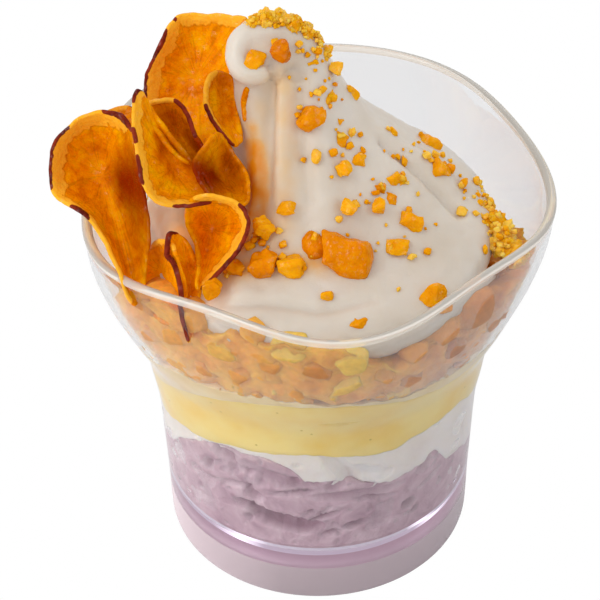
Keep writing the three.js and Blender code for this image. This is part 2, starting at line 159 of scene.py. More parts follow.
def make_object(name, points, faces, materials, values=None, picks=None):
    """A smooth mesh from points in cup millimetres, riding on the part's one body.
    `picks` gives each face's place in the list of materials, if there are several."""
    mesh = bpy.data.meshes.new(name)
    mesh.from_pydata((np.asarray(points, float) * MM + AXIS).tolist(), [], faces)
    for key in values or {}:
        add_values(mesh, key, values[key])
    tidy = bmesh.new()
    tidy.from_mesh(mesh)
    bmesh.ops.recalc_face_normals(tidy, faces=tidy.faces)
    tidy.to_mesh(mesh)
    tidy.free()
    mesh.shade_smooth()
    for material in materials:
        mesh.materials.append(material)
    if picks is not None:
        mesh.polygons.foreach_set("material_index", picks)
    obj = add_object(name, mesh)
    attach(obj, "root")
    return obj


def run_together(obj, voxel_mm, rounds):
    """Replaces all that an object's mesh holds by one soft skin over it."""
    merge = obj.modifiers.new("merge", "REMESH")
    merge.mode = "VOXEL"
    merge.voxel_size = voxel_mm * MM
    soften = obj.modifiers.new("soften", "SMOOTH")
    soften.factor = 0.5
    soften.iterations = rounds
    graph = bpy.context.evaluated_depsgraph_get()
    made = bpy.data.meshes.new_from_object(obj.evaluated_get(graph))
    obj.modifiers.clear()
    material = obj.data.materials[0]
    obj.data = made
    made.materials.clear()
    made.materials.append(material)
    made.shade_smooth()


def read_vectors(items, name):
    flat = np.empty(3 * len(items))
    items.foreach_get(name, flat)
    return flat.reshape(-1, 3)


def get_points(mesh):
    """A mesh's points in cup millimetres."""
    return (read_vectors(mesh.vertices, "co") - AXIS) / MM


def get_normals(mesh):
    return read_vectors(mesh.vertex_normals, "vector")


def set_points(mesh, points):
    mesh.vertices.foreach_set("co", (points * MM + AXIS).ravel())
    mesh.update()


def off_angle(angle, middle):
    """How far each angle (degrees) is from the middle one, -180..180."""
    return (angle - middle + 180) % 360 - 180


def distance_to_line(points, line):
    """Distance from each point to a bent line through the given places."""
    best = np.full(len(points), 1e9)
    line = np.asarray(line, float)
    for start, end in zip(line[:-1], line[1:]):
        along = end - start
        share = np.clip((points - start) @ along / (along @ along), 0, 1)
        gap = np.linalg.norm(points - start - share[:, None] * along, axis=1)
        best = np.minimum(best, gap)
    return best


def near_line(points, line, width):
    """1 on the line, fading to 0 over about its width."""
    return np.exp(-((distance_to_line(points, line) / width) ** 2))


def sculpt(mesh, strokes):
    """Pushes the surface out (or in, if negative) near each stroke: line, width, amount."""
    for line, width, amount in strokes:
        points = get_points(mesh)
        near = near_line(points, line, width)
        set_points(mesh, points + get_normals(mesh) * (amount * near)[:, None])


# ---------------------------------------------------------- shader helpers
def srgb(red, green, blue):
    """A colour given as 0..255 display values, as the linear RGBA that shaders take."""
    linear = []
    for value in (red, green, blue):
        v = value / 255
        linear.append(v / 12.92 if v <= 0.04045 else ((v + 0.055) / 1.055) ** 2.4)
    return (*linear, 1.0)


def by_ray(tree, ray, usual, instead, output):
    """The tree shows one surface, but another to rays of the given kind."""
    mix = tree.nodes.new("ShaderNodeMixShader")
    path = tree.nodes.new("ShaderNodeLightPath")
    sources = (path.outputs[ray], usual.outputs[0], instead.outputs[0])
    for socket, source in zip(mix.inputs, sources):
        tree.links.new(source, socket)
    tree.links.new(mix.outputs[0], tree.nodes[output].inputs["Surface"])


class Shader:
    """A material under construction, with short calls for the nodes used here."""

    def __init__(self, name):
        self.material = bpy.data.materials.new(name)
        self.material.use_nodes = True
        self.tree = self.material.node_tree
        self.nodes = self.tree.nodes
        self.links = self.tree.links
        self.surface = self.nodes["Principled BSDF"]
        self.place = self.nodes.new("ShaderNodeTexCoord").outputs["Object"]

    def put(self, socket, value):
        if isinstance(value, bpy.types.NodeSocket):
            self.links.new(value, socket)
        else:
            socket.default_value = value

    def set(self, **values):
        """Sets or links sockets of the Principled shader; underscores stand for spaces."""
        for key, value in values.items():
            self.put(self.surface.inputs[key.replace("_", " ")], value)

    def add(self, kind, **values):
        """A new node whose sockets are set or linked."""
        node = self.nodes.new("ShaderNode" + kind)
        for key, value in values.items():
            self.put(node.inputs[key], value)
        return node

    def scatter(self, weight, colour, depth_mm):
        """Light that enters the surface and leaves it nearby, by its share of each colour."""
        self.set(
            Subsurface_Weight=weight, Subsurface_Radius=colour, Subsurface_Scale=depth_mm * MM
        )

    def noise(self, size_mm, detail=3.0, rough=0.55, place=None, distort=0.0):
        """Noise over the object, or over the given places, which are in mm."""
        scale = 1 / (size_mm * MM) if place is None else 1 / size_mm
        node = self.add("TexNoise", Vector=place or self.place, Scale=scale, Detail=detail)
        self.put(node.inputs["Roughness"], rough)
        self.put(node.inputs["Distortion"], distort)
        return node.outputs["Fac"]

    def cells(self, size_mm, feature="F1"):
        node = self.add("TexVoronoi", Vector=self.place, Scale=1 / (size_mm * MM))
        node.feature = feature
        return node.outputs["Distance"]

    def across(self):
        """The place along x, in metres."""
        return self.add("SeparateXYZ", Vector=self.place).outputs["X"]

    def attribute(self, name, output="Fac"):
        node = self.add("Attribute")
        node.attribute_name = name
        return node.outputs[output]

    def ramp(self, fac, *stops):
        """Colours (or greys) at positions along 0..1."""
        node = self.add("ValToRGB", Fac=fac)
        elements = node.color_ramp.elements
        while len(elements) < len(stops):
            elements.new(0.5)
        for element, (position, colour) in zip(elements, stops):
            element.position = position
            element.color = colour if isinstance(colour, tuple) else (colour, colour, colour, 1.0)
        return node.outputs["Color"]

    def mix(self, fac, first, second, blend="MIX"):
        node = self.add("Mix")
        node.data_type = "RGBA"
        node.blend_type = blend
        for index, value in ((0, fac), (6, first), (7, second)):
            self.put(node.inputs[index], value)
        return node.outputs[2]

    def math(self, operation, first, second=0.0):
        node = self.add("Math")
        node.operation = operation
        self.put(node.inputs[0], first)
        self.put(node.inputs[1], second)
        return node.outputs[0]

    def bump(self, height, depth_mm, strength, under=None):
        node = self.add("Bump", Strength=strength, Distance=depth_mm * MM, Height=height)
        if under is not None:
            self.put(node.inputs["Normal"], under)
        return node.outputs["Normal"]


# --------------------------------------------------------------- materials
def clear_plastic():
    """Clear moulded plastic; lamps shine through it instead of leaving it in the dark."""
    shader = Shader("clear_plastic")
    shader.set(
        Base_Color=(0.93, 0.928, 0.93, 1),
        Roughness=0.02,
        IOR=1.42,
        Transmission_Weight=1.0,
    )
    lamp_light = shader.add("BsdfTransparent", Color=(0.92, 0.92, 0.93, 1))
    by_ray(shader.tree, "Is Shadow Ray", shader.surface, lamp_light, "Material Output")
    return shader.material


def plastic_with_painted_light(name, colour, clear_share, roughness, painted_glow=0.0, painted_light_places=()):
    """Where the plastic is thick, at the rim and the foot, it is drawn milky, a painted stand-in
    for the light caught in it. Its emission is a painted glow, standing in for light gathered from
    elsewhere in the cup, and the listed places get painted highlights where that glow is brighter:
    x and half-width in mm in the row frame, and how bright."""
    shader = Shader(name)
    for centre, half_width, bright in painted_light_places:
        off = shader.math("ABSOLUTE", shader.math("SUBTRACT", shader.across(), centre * MM))
        share = shader.math("SUBTRACT", 1.0, shader.math("DIVIDE", off, half_width * MM))
        near = shader.math("MAXIMUM", share)
        painted_glow = shader.math("ADD", shader.math("MULTIPLY", near, bright), painted_glow)
    shade = shader.noise(16.0, detail=1.0)
    darker = (colour[0] * 0.93, colour[1] * 0.93, colour[2] * 0.93, 1)
    shader.scatter(0.3, (1.0, 1.0, 1.0), 2.0)
    shader.set(
        Base_Color=shader.mix(shade, colour, darker),
        Roughness=roughness,
        IOR=1.42,
        Transmission_Weight=clear_share,
        Emission_Color=colour,
        Emission_Strength=painted_glow,
    )
    return shader.material


def cream(name, light, dark, bump_mm, scatter_mm):
    """Whipped or soft cream: faint warm mottling, a fine uneven surface, light inside."""
    shader = Shader(name)
    tone = shader.noise(9.0, detail=2.0)
    fine = shader.noise(1.4, detail=4.0)
    shader.scatter(0.35, (1.0, 0.75, 0.5), scatter_mm)
    shader.set(
        Base_Color=shader.mix(shader.ramp(tone, (0.35, 0.0), (0.7, 1.0)), light, dark),
        Roughness=0.42,
        Normal=shader.bump(fine, bump_mm, 0.5),
    )
    return shader.material


def purple_mash():
    """Mashed purple sweet potato: mottled mauve, with painted shade darkening it where it is torn
    or hollow.
    """
    shader = Shader("purple_cream")
    patches = shader.noise(5.0, detail=4.0, rough=0.6, distort=0.6)
    grain = shader.noise(0.9)
    base = shader.ramp(
        patches, (0.3, srgb(186, 152, 168)), (0.5, srgb(209, 178, 191)), (0.72, srgb(226, 202, 211))
    )
    # painted shade: darker where the surface lies deep in a fold, pit or hollow
    deep = shader.ramp(shader.attribute("depth"), (0.12, 0.0), (0.6, 1.0))
    shader.scatter(0.15, (1.0, 0.7, 0.8), 1.2)
    shader.set(
        Base_Color=shader.mix(deep, base, srgb(168, 128, 146)),
        Roughness=0.5,
        Normal=shader.bump(grain, 0.25, 0.6, under=shader.bump(patches, 1.0, 0.6)),
    )
    return shader.material


def yellow_custard():
    """Smooth yellow cream with a few small specks of potato."""
    shader = Shader("yellow_cream")
    clouds = shader.noise(11.0, detail=2.0)
    specks = shader.ramp(shader.cells(3.4), (0.05, 1.0), (0.1, 0.0))
    base = shader.ramp(clouds, (0.35, srgb(252, 216, 112)), (0.65, srgb(255, 230, 148)))
    shader.scatter(0.3, (1.0, 0.8, 0.35), 2.0)
    shader.set(
        Base_Color=shader.mix(specks, base, srgb(214, 186, 84)),
        Roughness=0.35,
        Normal=shader.bump(shader.noise(2.5), 0.2, 0.4),
    )
    return shader.material


def cake():
    """Sponge pieces: open crumb, from pale yellow through orange-tan to toasted brown."""
    shader = Shader("cake_crumbs")
    tone = shader.attribute("tone")
    speckle = shader.noise(1.3, detail=4.0, rough=0.6)
    base = shader.ramp(
        tone,
        (0.0, srgb(255, 208, 100)),
        (0.25, srgb(255, 192, 76)),
        (0.55, srgb(246, 168, 64)),
        (1.0, srgb(190, 112, 38)),
    )
    shade = shader.ramp(speckle, (0.3, 0.84), (0.6, 1.0))
    shader.scatter(0.6, (1.0, 0.6, 0.25), 3.0)
    shader.set(
        Base_Color=shader.mix(1.0, base, shade, "MULTIPLY"),
        Roughness=0.6,
        Specular_IOR_Level=0.3,
        Normal=shader.bump(speckle, 0.5, 0.6),
    )
    return shader.material


def soft_serve_cream():
    """Vanilla soft serve: warm white and slightly wet, with fine icy texture, stained where
    syrup has soaked in, with a painted orange reflection of the chips and dice beside them; where
    it is
    `pale`, it is painted lighter and given a painted glow, for light that reaches it through the
    chips round it."""
    shader = Shader("soft_serve")
    tone = shader.noise(14.0, detail=2.0)
    frost = shader.noise(0.8)
    soak_and_reflection = shader.attribute("soak_and_reflection")
    pale = shader.attribute("pale")
    clouds = shader.ramp(tone, (0.35, 0.0), (0.7, 1.0))
    base = shader.mix(clouds, srgb(216, 206, 193), srgb(206, 192, 174))
    # painted light: lighter where pale, for light coming through the chips
    lit = shader.mix(pale, base, srgb(244, 232, 214))
    # syrup stain, with painted orange reflection of the chips and dice beside it
    syrup_and_reflection = shader.ramp(soak_and_reflection, (0.3, srgb(226, 182, 116)), (0.9, srgb(230, 144, 8)))
    shader.scatter(0.4, (1.0, 0.8, 0.6), 3.0)
    shader.set(
        Base_Color=shader.mix(shader.ramp(soak_and_reflection, (0.0, 0.0), (0.45, 1.0)), lit, syrup_and_reflection),
        # painted glow where pale, for light coming through the chips
        Emission_Color=srgb(255, 206, 158),
        Emission_Strength=shader.math("MULTIPLY", pale, 0.2),
        Roughness=0.38,
        Normal=shader.bump(frost, 0.12, 0.5),
    )
    return shader.material


def potato_chip():
    """Fried sweet potato slice: deep orange flesh with fibres from its middle, a paler
    band within the edge, dark wine-red skin, and painted shade where it lies in shadow. Thin enough
    for a little light to come through it, with a faint painted glow added for that light."""
    shader = Shader("sweet_potato_chip")
    fibres = shader.noise(1.0, detail=4.0, rough=0.6, place=shader.attribute("fibre", "Vector"))
    blotches = shader.noise(4.0, detail=5.0, rough=0.65)
    grain = shader.noise(1.0, detail=4.0, rough=0.6)
    uneven = shader.math("MULTIPLY", shader.math("SUBTRACT", grain, 0.5), 0.35)
    glow = shader.ramp(
        blotches, (0.34, srgb(220, 116, 0)), (0.5, srgb(246, 150, 0)), (0.66, srgb(255, 178, 0))
    )
    streaks = shader.ramp(fibres, (0.36, 0.8), (0.5, 1.0))
    flesh = shader.mix(1.0, glow, streaks, "MULTIPLY")
    depth = shader.math("ADD", shader.attribute("band"), uneven)
    band = shader.ramp(depth, (0.38, 0.0), (0.58, 1.0))
    line = shader.ramp(depth, (0.3, 0.0), (0.42, 1.0), (0.54, 0.0))
    pale = shader.mix(band, flesh, shader.mix(grain, srgb(246, 160, 12), srgb(252, 190, 60)))
    ringed = shader.mix(shader.math("MULTIPLY", line, 0.4), pale, srgb(176, 84, 0))
    # painted shade: red-brown darkening where the slice lies in shadow, by the places given in
    # CHIPS
    painted_shade = shader.math("MULTIPLY", shader.attribute("painted_shade"), 0.97)
    shade_painted = shader.mix(painted_shade, ringed, srgb(130, 26, 0))
    reach = shader.math("ADD", shader.attribute("skin"), uneven)
    skin = shader.ramp(reach, (0.47, 0.0), (0.55, 1.0))
    bark = shader.ramp(blotches, (0.35, srgb(84, 20, 14)), (0.6, srgb(136, 46, 26)))
    colour = shader.mix(skin, shade_painted, bark)
    bubbles = shader.bump(shader.cells(1.5, "SMOOTH_F1"), 0.3, 0.5)
    shader.scatter(0.1, (1.0, 0.4, 0.05), 1.0)
    shader.set(
        Base_Color=colour,
        # painted glow: a faint emission in the slice's own colour, for light coming through it
        Emission_Color=colour,
        Emission_Strength=0.06,
        Roughness=0.22,
        Specular_IOR_Level=shader.ramp(shader.noise(1.2), (0.56, 0.03), (0.68, 0.6)),
        Normal=shader.bump(grain, 0.45, 0.9, under=bubbles),
    )
    return shader.material


def candied_potato():
    """Candied dice: golden and glossy, a little see-through, each of its own depth of colour."""
    shader = Shader("candied_sweet_potato")
    tone = shader.attribute("tone")
    mottling = shader.math("SUBTRACT", shader.noise(1.6), 0.5)
    mixed = shader.math("ADD", tone, shader.math("MULTIPLY", mottling, 0.5))
    base = shader.ramp(
        mixed,
        (0.0, srgb(255, 208, 88)),
        (0.35, srgb(246, 170, 12)),
        (0.7, srgb(228, 134, 0)),
        (1.0, srgb(190, 90, 0)),
    )
    shader.scatter(0.3, (1.0, 0.5, 0.05), 1.4)
    shader.set(
        Base_Color=base,
        Roughness=0.25,
        Specular_IOR_Level=shader.ramp(shader.noise(0.9, detail=2.0), (0.56, 0.03), (0.66, 0.7)),
        Normal=shader.bump(shader.noise(0.7, detail=4.0), 0.35, 0.7),
    )
    return shader.material


# The cup's plastic: clear walls, the rim, the foot, the floor seen from the side, and the
# bright ring round the floor's edge; all but the clear walls have light painted into them.
CLEAR = clear_plastic()
# the rim's milky white is painted light, standing in for the light caught in the thick bead
RIM = plastic_with_painted_light("rim_plastic", srgb(240, 232, 220), 0.45, 0.12)
# the foot is tinted mauve as a painted reflection of the purple mash seen through the floor, with a
# painted glow brighter on its left, where the lamps fall
FOOT_PAINTED_LIGHT = [(-28.0, 22.0, 0.35)]
FOOT = plastic_with_painted_light("foot_plastic", srgb(202, 186, 191), 0.35, 0.2, painted_light_places=FOOT_PAINTED_LIGHT)
# the floor's underside and top have a painted mauve glow, standing in for the purple mash seen
# through them and the light gathered in the floor
FLOOR_GLOW = plastic_with_painted_light("floor_plastic", srgb(174, 148, 162), 0.0, 0.3, 0.42)
# the ring round the floor's edge is painted bright, with painted highlights at two places, standing
# in for reflections of the lamps
RING_PAINTED_HIGHLIGHTS = [(-12.5, 4.4, 1.6), (22.0, 3.0, 1.8)]
RING_GLOW = plastic_with_painted_light("fillet_plastic", srgb(198, 190, 204), 0.0, 0.15, 0.45, RING_PAINTED_HIGHLIGHTS)
CUP_MATERIALS = [CLEAR, RIM, FOOT, FLOOR_GLOW, RING_GLOW]
PURPLE = purple_mash()
WHITE = cream("white_cream", srgb(252, 244, 240), srgb(244, 234, 228), 0.4, 2.0)
SOAKED = cream("soaked_cream", srgb(250, 228, 186), srgb(238, 208, 150), 0.3, 2.5)
YELLOW = yellow_custard()
CAKE = cake()
SERVE = soft_serve_cream()
CHIP = potato_chip()
CANDIED = candied_potato()


# ----------------------------------------------------------------- the cup
CUP_HEIGHT = 85.1
WALL = 1.5
CORNER_ANGLE = -0.178  # radians
CORNER_SWELL = 0.0356  # how much wider the rim is at its five corners, as a share
CORNER_DROP = 0.955  # how much lower it is there
FLOOR_TOP = 12.3
FLOOR_UNDER = 9.4
FLOOR_FILLET = 2.7
FLOOR_FILLET_TOP = FLOOR_TOP + FLOOR_FILLET
FLOOR_RINGS = (18, 8)  # radii of the rings on the floor's top
BEAD = 1.0  # radius of the rounded rim
BEAD_INSET = 0.8  # how deep in the wall the rim's rounding has its middle
RIM_BAND = 1.3  # how far down from the top the rim is painted milky, for the light caught in its bead
CUP_SEGMENTS = 240
BEAD_STEPS = 8
FILLET_STEPS = 5

# Height and radius of the wall outside, midway between corners and sides.
CUP_OUTLINE = smooth_curve([
    (-1.0, 30.0), (0, 30.6), (1.2, 31.0), (11, 31.34), (22, 31.9), (34, 32.6), (42.5, 34.04),
    (49.4, 35.13), (53.5, 36.7), (57.9, 38.78), (63, 40.8), (68.1, 42.63), (76.6, 44.58),
    (82, 45.1), (86, 45.3),
])


def pentagon_weight(z):
    """0 in the lower half of the cup, which is round, rising to 1 at its rim."""
    t = np.clip((np.asarray(z, float) / CUP_HEIGHT - 0.5) / 0.5, 0, 1)
    return t * t * (3 - 2 * t)


def wall_radius(z, angle, inset):
    five = np.cos(5 * (angle - CORNER_ANGLE))
    return CUP_OUTLINE(z) * (1 + CORNER_SWELL * pentagon_weight(z) * five) - inset


def rim_drop(z, angle):
    """The wall's upper part lies lower at the rim's corners, and higher between them."""
    five = np.cos(5 * (angle - CORNER_ANGLE))
    return -CORNER_DROP * five * np.clip((np.asarray(z, float) - 60) / 25, 0, None) ** 2


def at_wall(z, angle, inset):
    """Points on the wall at a height, angle and depth."""
    return circle(angle, z, wall_radius(z, angle, inset))


# Radius and height under the floor and down inside the hollow foot, to the foot's outer edge.
FOOT_PROFILE = [
    (9, 9.5), (18, 9.5), (25, 9.45), (27.2, 9.2), (28.4, 8.6), (29.0, 7.6), (29.1, 4.0),
    (29.2, 1.0), (29.3, 0.35), (29.6, 0.05), (30.1, 0.0), (30.55, 0.15),
]
# Heights of the cup's rings outside, and of those that also go round inside.
LOW_OUTSIDE = (0.6, 1.2, 3, 6, 9, 11, 14, 18, 22, 28, 34, 38, 42.5)
HIGH_SIDES = (
    46, 49.4, 51.5, 53.5, 55.7, 57.9, 60.5, 63, 65.5, 68.1, 71, 74, 76.6, 79, 81.5, 83,
)
LOW_INSIDE = (42.5, 38, 34, 28, 22, 18, 15)


def cup_profile():
    """Height, depth in the wall and radius of each ring; either depth or radius is None."""
    profile = [(z, None, r) for r, z in FOOT_PROFILE]
    profile += [(z, 0.0, None) for z in LOW_OUTSIDE + HIGH_SIDES]
    for step in range(BEAD_STEPS + 1):
        turn = math.pi * step / BEAD_STEPS
        height = CUP_HEIGHT - BEAD + BEAD * math.sin(turn)
        profile.append((height, BEAD_INSET - BEAD * math.cos(turn), None))
    profile += [(z, WALL, None) for z in HIGH_SIDES[::-1] + LOW_INSIDE]
    for step in range(1, FILLET_STEPS + 1):
        turn = math.pi / 2 * step / FILLET_STEPS
        inset = WALL + FLOOR_FILLET * (1 - math.cos(turn))
        profile.append((FLOOR_FILLET_TOP - FLOOR_FILLET * math.sin(turn), inset, None))
    return profile + [(FLOOR_TOP, None, r) for r in FLOOR_RINGS]


def build_cup():
    """One skin: under the floor, down the hollow foot, up outside, over the rim, down inside."""
    angle = CORNER_ANGLE + full_turn(CUP_SEGMENTS)
    profile = cup_profile()
    rings = []
    for z, inset, r in profile:
        if r is None:
            r = wall_radius(z, angle, inset)
        rings.append(circle(angle, z + rim_drop(z, angle), r))
    points, faces = ring_skin(rings, [0, 0, FLOOR_UNDER + 0.1], [0, 0, FLOOR_TOP])
    skins = []
    for (low, _, _), (high, _, _) in zip(profile[:-1], profile[1:]):
        middle = (low + high) / 2
        in_rim = middle > CUP_HEIGHT - RIM_BAND
        skins.append(RIM if in_rim else FOOT if middle < FLOOR_UNDER else CLEAR)
    # Seen from the side, the floor's underside and top have a painted glow, with a painted bright
    # ring on each.
    skins[:5] = [FLOOR_GLOW, RING_GLOW, FLOOR_GLOW, FLOOR_GLOW, FLOOR_GLOW]
    floor_starts = len(skins) - len(FLOOR_RINGS)
    skins[floor_starts - FILLET_STEPS : floor_starts] = [RING_GLOW] * FILLET_STEPS
    skins[floor_starts:] = [FLOOR_GLOW] * (len(FLOOR_RINGS) + 2)  # and both end fans
    picks = []
    for skin in skins:
        picks += [CUP_MATERIALS.index(skin)] * CUP_SEGMENTS
    cup = make_object("cup_clear", points, faces, CUP_MATERIALS, picks=picks)
    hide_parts("cup")


# ------------------------------------------------- layers inside the cup
LAYER_SEGMENTS = 480
SIDE_STEPS = 44
SHARES = (0.25, 0.5, 0.7, 0.85, 0.93, 0.97)
REACH = WALL - 0.25  # the food's skin lies this far inside the cup's outer skin
TUCK = 1.4  # how far a layer draws back where it runs down behind the layer below
DEEP = 3.0  # the recess at which the painted shade in a layer's material is darkest
JAG_RADIUS = 32  # of the circle on which the noise of a layer's ragged edge is read

# Where each layer's top meets the wall: angle round the cup, height.
PURPLE_EDGE = around([
    (-165, 26), (-147, 33.4), (-133, 38.5), (-123, 41.0), (-115, 40.8), (-108, 40.5), (-101, 38.8),
    (-97, 36.1), (-95, 34.3), (-90, 34.7), (-84, 34.4), (-75, 32.7), (-69, 31.9), (-63, 30.9),
    (-58, 31.5), (-53, 31.4), (-49, 31.8), (-46, 33.9), (-44, 33.7), (-39, 29.7), (-35, 26.8),
    (-28, 26), (-12, 22.5), (15, 24), (50, 29), (75, 31), (100, 34), (125, 32), (160, 27.5),
])
WHITE_EDGE = around([
    (-165, 34.5), (-145, 38.1), (-136, 38.9), (-123, 41.3), (-111, 42.1), (-102, 42.7), (-93, 43.3),
    (-83, 42.5), (-72, 41.2), (-64, 40.8), (-56, 42.4), (-47, 42.8), (-36, 43.3), (-21, 40.1),
    (10, 38), (60, 40), (100, 41), (140, 38), (170, 35),
])
YELLOW_EDGE = around([
    (-168, 45), (-153, 47.4), (-135, 54.2), (-125, 57), (-114, 59.7), (-104, 61.7), (-95, 62.8),
    (-84, 63.1), (-76, 62), (-66, 59.5), (-58, 58.1), (-49, 56.9), (-40, 56.6), (-33, 57.6),
    (-10, 57), (60, 57), (130, 54),
])
UPPER_EDGE = around([
    (-168, 57), (-140, 60.8), (-130, 62.1), (-121, 62), (-113, 62.6), (-104, 63.8), (-95, 64.5),
    (-90, 64.2), (-76, 63.2), (-66, 61.4), (-50, 60.4), (-30, 60.2), (60, 59.5), (130, 58),
])
CRUMB_EDGE = around([
    (-166, 65.5), (-157, 69), (-151, 74), (-145, 80), (-139, 82.0), (-133, 81.8), (-125, 80),
    (-119, 77.6), (-110, 81), (-97, 80.6), (-84, 79.6), (-78, 77), (-69, 72.4), (-60, 74.3),
    (-49, 73), (-37, 72.5), (-32, 74), (-20, 73), (-5, 70), (8, 67), (22, 64.5), (45, 62.8),
    (120, 62), (160, 66),
])


def level(edge, middle, jag, seed):
    """A layer's top: from its height at the wall to a level middle, with a ragged edge."""

    def at(share, angle):
        ease = share * share * (3 - 2 * share)
        ragged = bumps(circle(angle, share) * JAG_RADIUS, 3.2, seed, 4)
        return middle + (edge(angle) - middle) * ease + jag * ragged * share

    return at


def height_at(top, share, degrees):
    """The height of a layer's top at one place, by share of the way out and angle."""
    return top(share, np.array([math.radians(degrees)]))[0]


def floor_level(share, angle):
    """The cup's floor, with a hair's breadth between it and the food."""
    return np.full_like(angle, FLOOR_TOP + 0.03)


PURPLE_TOP = level(PURPLE_EDGE, 32, 0.6, 1.0)
WHITE_TOP = level(WHITE_EDGE, 42, 0.35, 2.0)
YELLOW_TOP = level(YELLOW_EDGE, 58, 0.4, 3.0)
UPPER_TOP = level(UPPER_EDGE, 61.5, 1.2, 4.0)
CRUMB_TOP = level(CRUMB_EDGE, 66, 1.6, 5.0)


def build_layer(name, material, under, over, overlap, recess):
    """A disc of food between two levels. `recess` gives how far its side draws back
    from the wall; `overlap` is how far it runs down into the layer below."""
    angle = full_turn(LAYER_SEGMENTS)

    def ring(z, share):
        return at_wall(z, angle, REACH) * [share, share, 1]

    low = under(1.0, angle) - overlap
    high = over(1.0, angle)
    rings = [ring(under(share, angle) - overlap, share) for share in SHARES]
    rings += [ring(low + (high - low) * step / SIDE_STEPS, 1) for step in range(SIDE_STEPS + 1)]
    rings += [ring(over(share, angle), share) for share in SHARES[::-1]]
    centre = np.zeros(1)
    bottom = under(0.0, centre)[0] - overlap
    points, faces = ring_skin(rings, [0, 0, bottom], [0, 0, over(0.0, centre)[0]])
    side = slice(len(SHARES) * LAYER_SEGMENTS, (len(SHARES) + SIDE_STEPS + 1) * LAYER_SEGMENTS)
    depth = np.zeros(len(points))
    tucked = np.tile(under(1.0, angle), SIDE_STEPS + 1) - points[side][:, 2]
    depth[side] = recess(points[side]) + TUCK * np.clip(tucked, 0, 1)
    depth[: side.start] = np.outer(SHARES, depth[side][:LAYER_SEGMENTS]).ravel()
    depth[side.stop : -2] = np.outer(SHARES[::-1], depth[side][-LAYER_SEGMENTS:]).ravel()
    radius, _ = polar(points)
    points[:, :2] *= (1 - depth / np.maximum(radius, 1e-6))[:, None]
    # the depth attribute gives the purple mash its painted shade in recesses
    obj = make_object(name, points, faces, [material], {"depth": np.clip(depth / DEEP, 0, 1)})
    return obj


# Hollows torn in the purple mash, seen against the wall, where the mash is also painted
# darker as painted shade: angle, height, length along the wall, height of the hollow, slope, depth.
PURPLE_HOLLOWS = [
    (-113, 23.4, 5.0, 1.6, -0.25, 3.2), (-105, 21.6, 6.0, 2.2, -0.1, 3.6),
    (-96, 20.6, 5.0, 1.6, 0.1, 3.0), (-89, 23.6, 3.4, 0.7, 0.5, 2.4), (-55, 21.9, 1.6, 1.3, 0, 2.2),
    (-77, 20.8, 2.6, 0.9, 0.2, 2.0), (-86, 18.9, 2.4, 0.7, 0.2, 1.8), (-99, 30.6, 6, 0.7, 0.2, 1.6),
    (-122, 29.4, 5, 0.8, 0.3, 1.4), (-70, 27.5, 5, 0.7, -0.2, 1.4), (-44, 26, 3, 0.8, 0.3, 1.6),
    (-103, 34, 9, 2.4, -0.3, 1.3), (-78, 29.5, 11, 1.5, -0.05, 1.3), (-128, 36.4, 1.4, 0.9, 0, 1.3),
    (-124, 37.4, 0.9, 0.8, 0, 1.2), (-139, 26.5, 3, 0.7, 0.2, 1.2),
]


def purple_recess(points):
    """Folds, pits and the hollows above, and the rounding that follows the floor's fillet."""
    radius, angle = polar(points)
    z = points[:, 2]
    lumpy = np.clip((z - 22) / 6, 0.25, 1)
    folds = bumps(points, 7.0, 2.0, 3)
    depth = np.clip(folds - 0.12, 0, None) * 3.6 * lumpy
    pits = bumps(points, 2.2, 6.0, 2)
    depth += np.clip(pits - 0.42, 0, None) * 3.0
    for centre, height, length, tall, slope, deep in PURPLE_HOLLOWS:
        along = np.radians(off_angle(np.degrees(angle), centre)) * radius
        across = z - height - slope * along
        wobble = 1 + 0.5 * bumps(points, 1.8, centre, 2)
        near = np.exp(-((along / length) ** 2 + (across / tall) ** 2) * wobble)
        depth = np.maximum(depth, deep * np.clip(near * 1.5 - 0.35, 0, 1))
    depth *= np.clip((z - FLOOR_FILLET_TOP) / 2.5, 0, 1)
    below = np.clip(FLOOR_FILLET_TOP - z, 0, FLOOR_FILLET)
    rounded = FLOOR_FILLET - np.sqrt(FLOOR_FILLET**2 - below**2) + 0.4 * np.clip(below, 0, 1)
    rounded += np.clip(below - 1.2, 0, 1.4)
    return np.maximum(np.clip(depth, 0, 4), rounded)


CREAM_FOLD = [(1.2, -32.6, 45), (3.0, -31.8, 41), (5.6, -31, 36), (6.5, -30.5, 33)]


def cream_recess(points):
    """Soft hollows, and the one fold that shows on the right."""
    folds = bumps(points, 6.0, 9.0, 2)
    return np.clip(folds - 0.3, 0, None) * 1.6 + 1.8 * near_line(points, CREAM_FOLD, 1.5)


def to_the_right(degrees):
    """0 on the front left of the cup, rising to 1 on its front right."""
    return np.clip((degrees + 85) / 40, 0, 1)


def flush(points):
    """A layer that lies against the wall all over."""
    return np.zeros(len(points))


def crumb_recess(points):
    """The cake's core keeps back from the wall, behind the pieces pressed against it."""
    return np.clip(0.8 + 1.1 * bumps(points, 4.0, 11.0, 3), 0.25, 3)


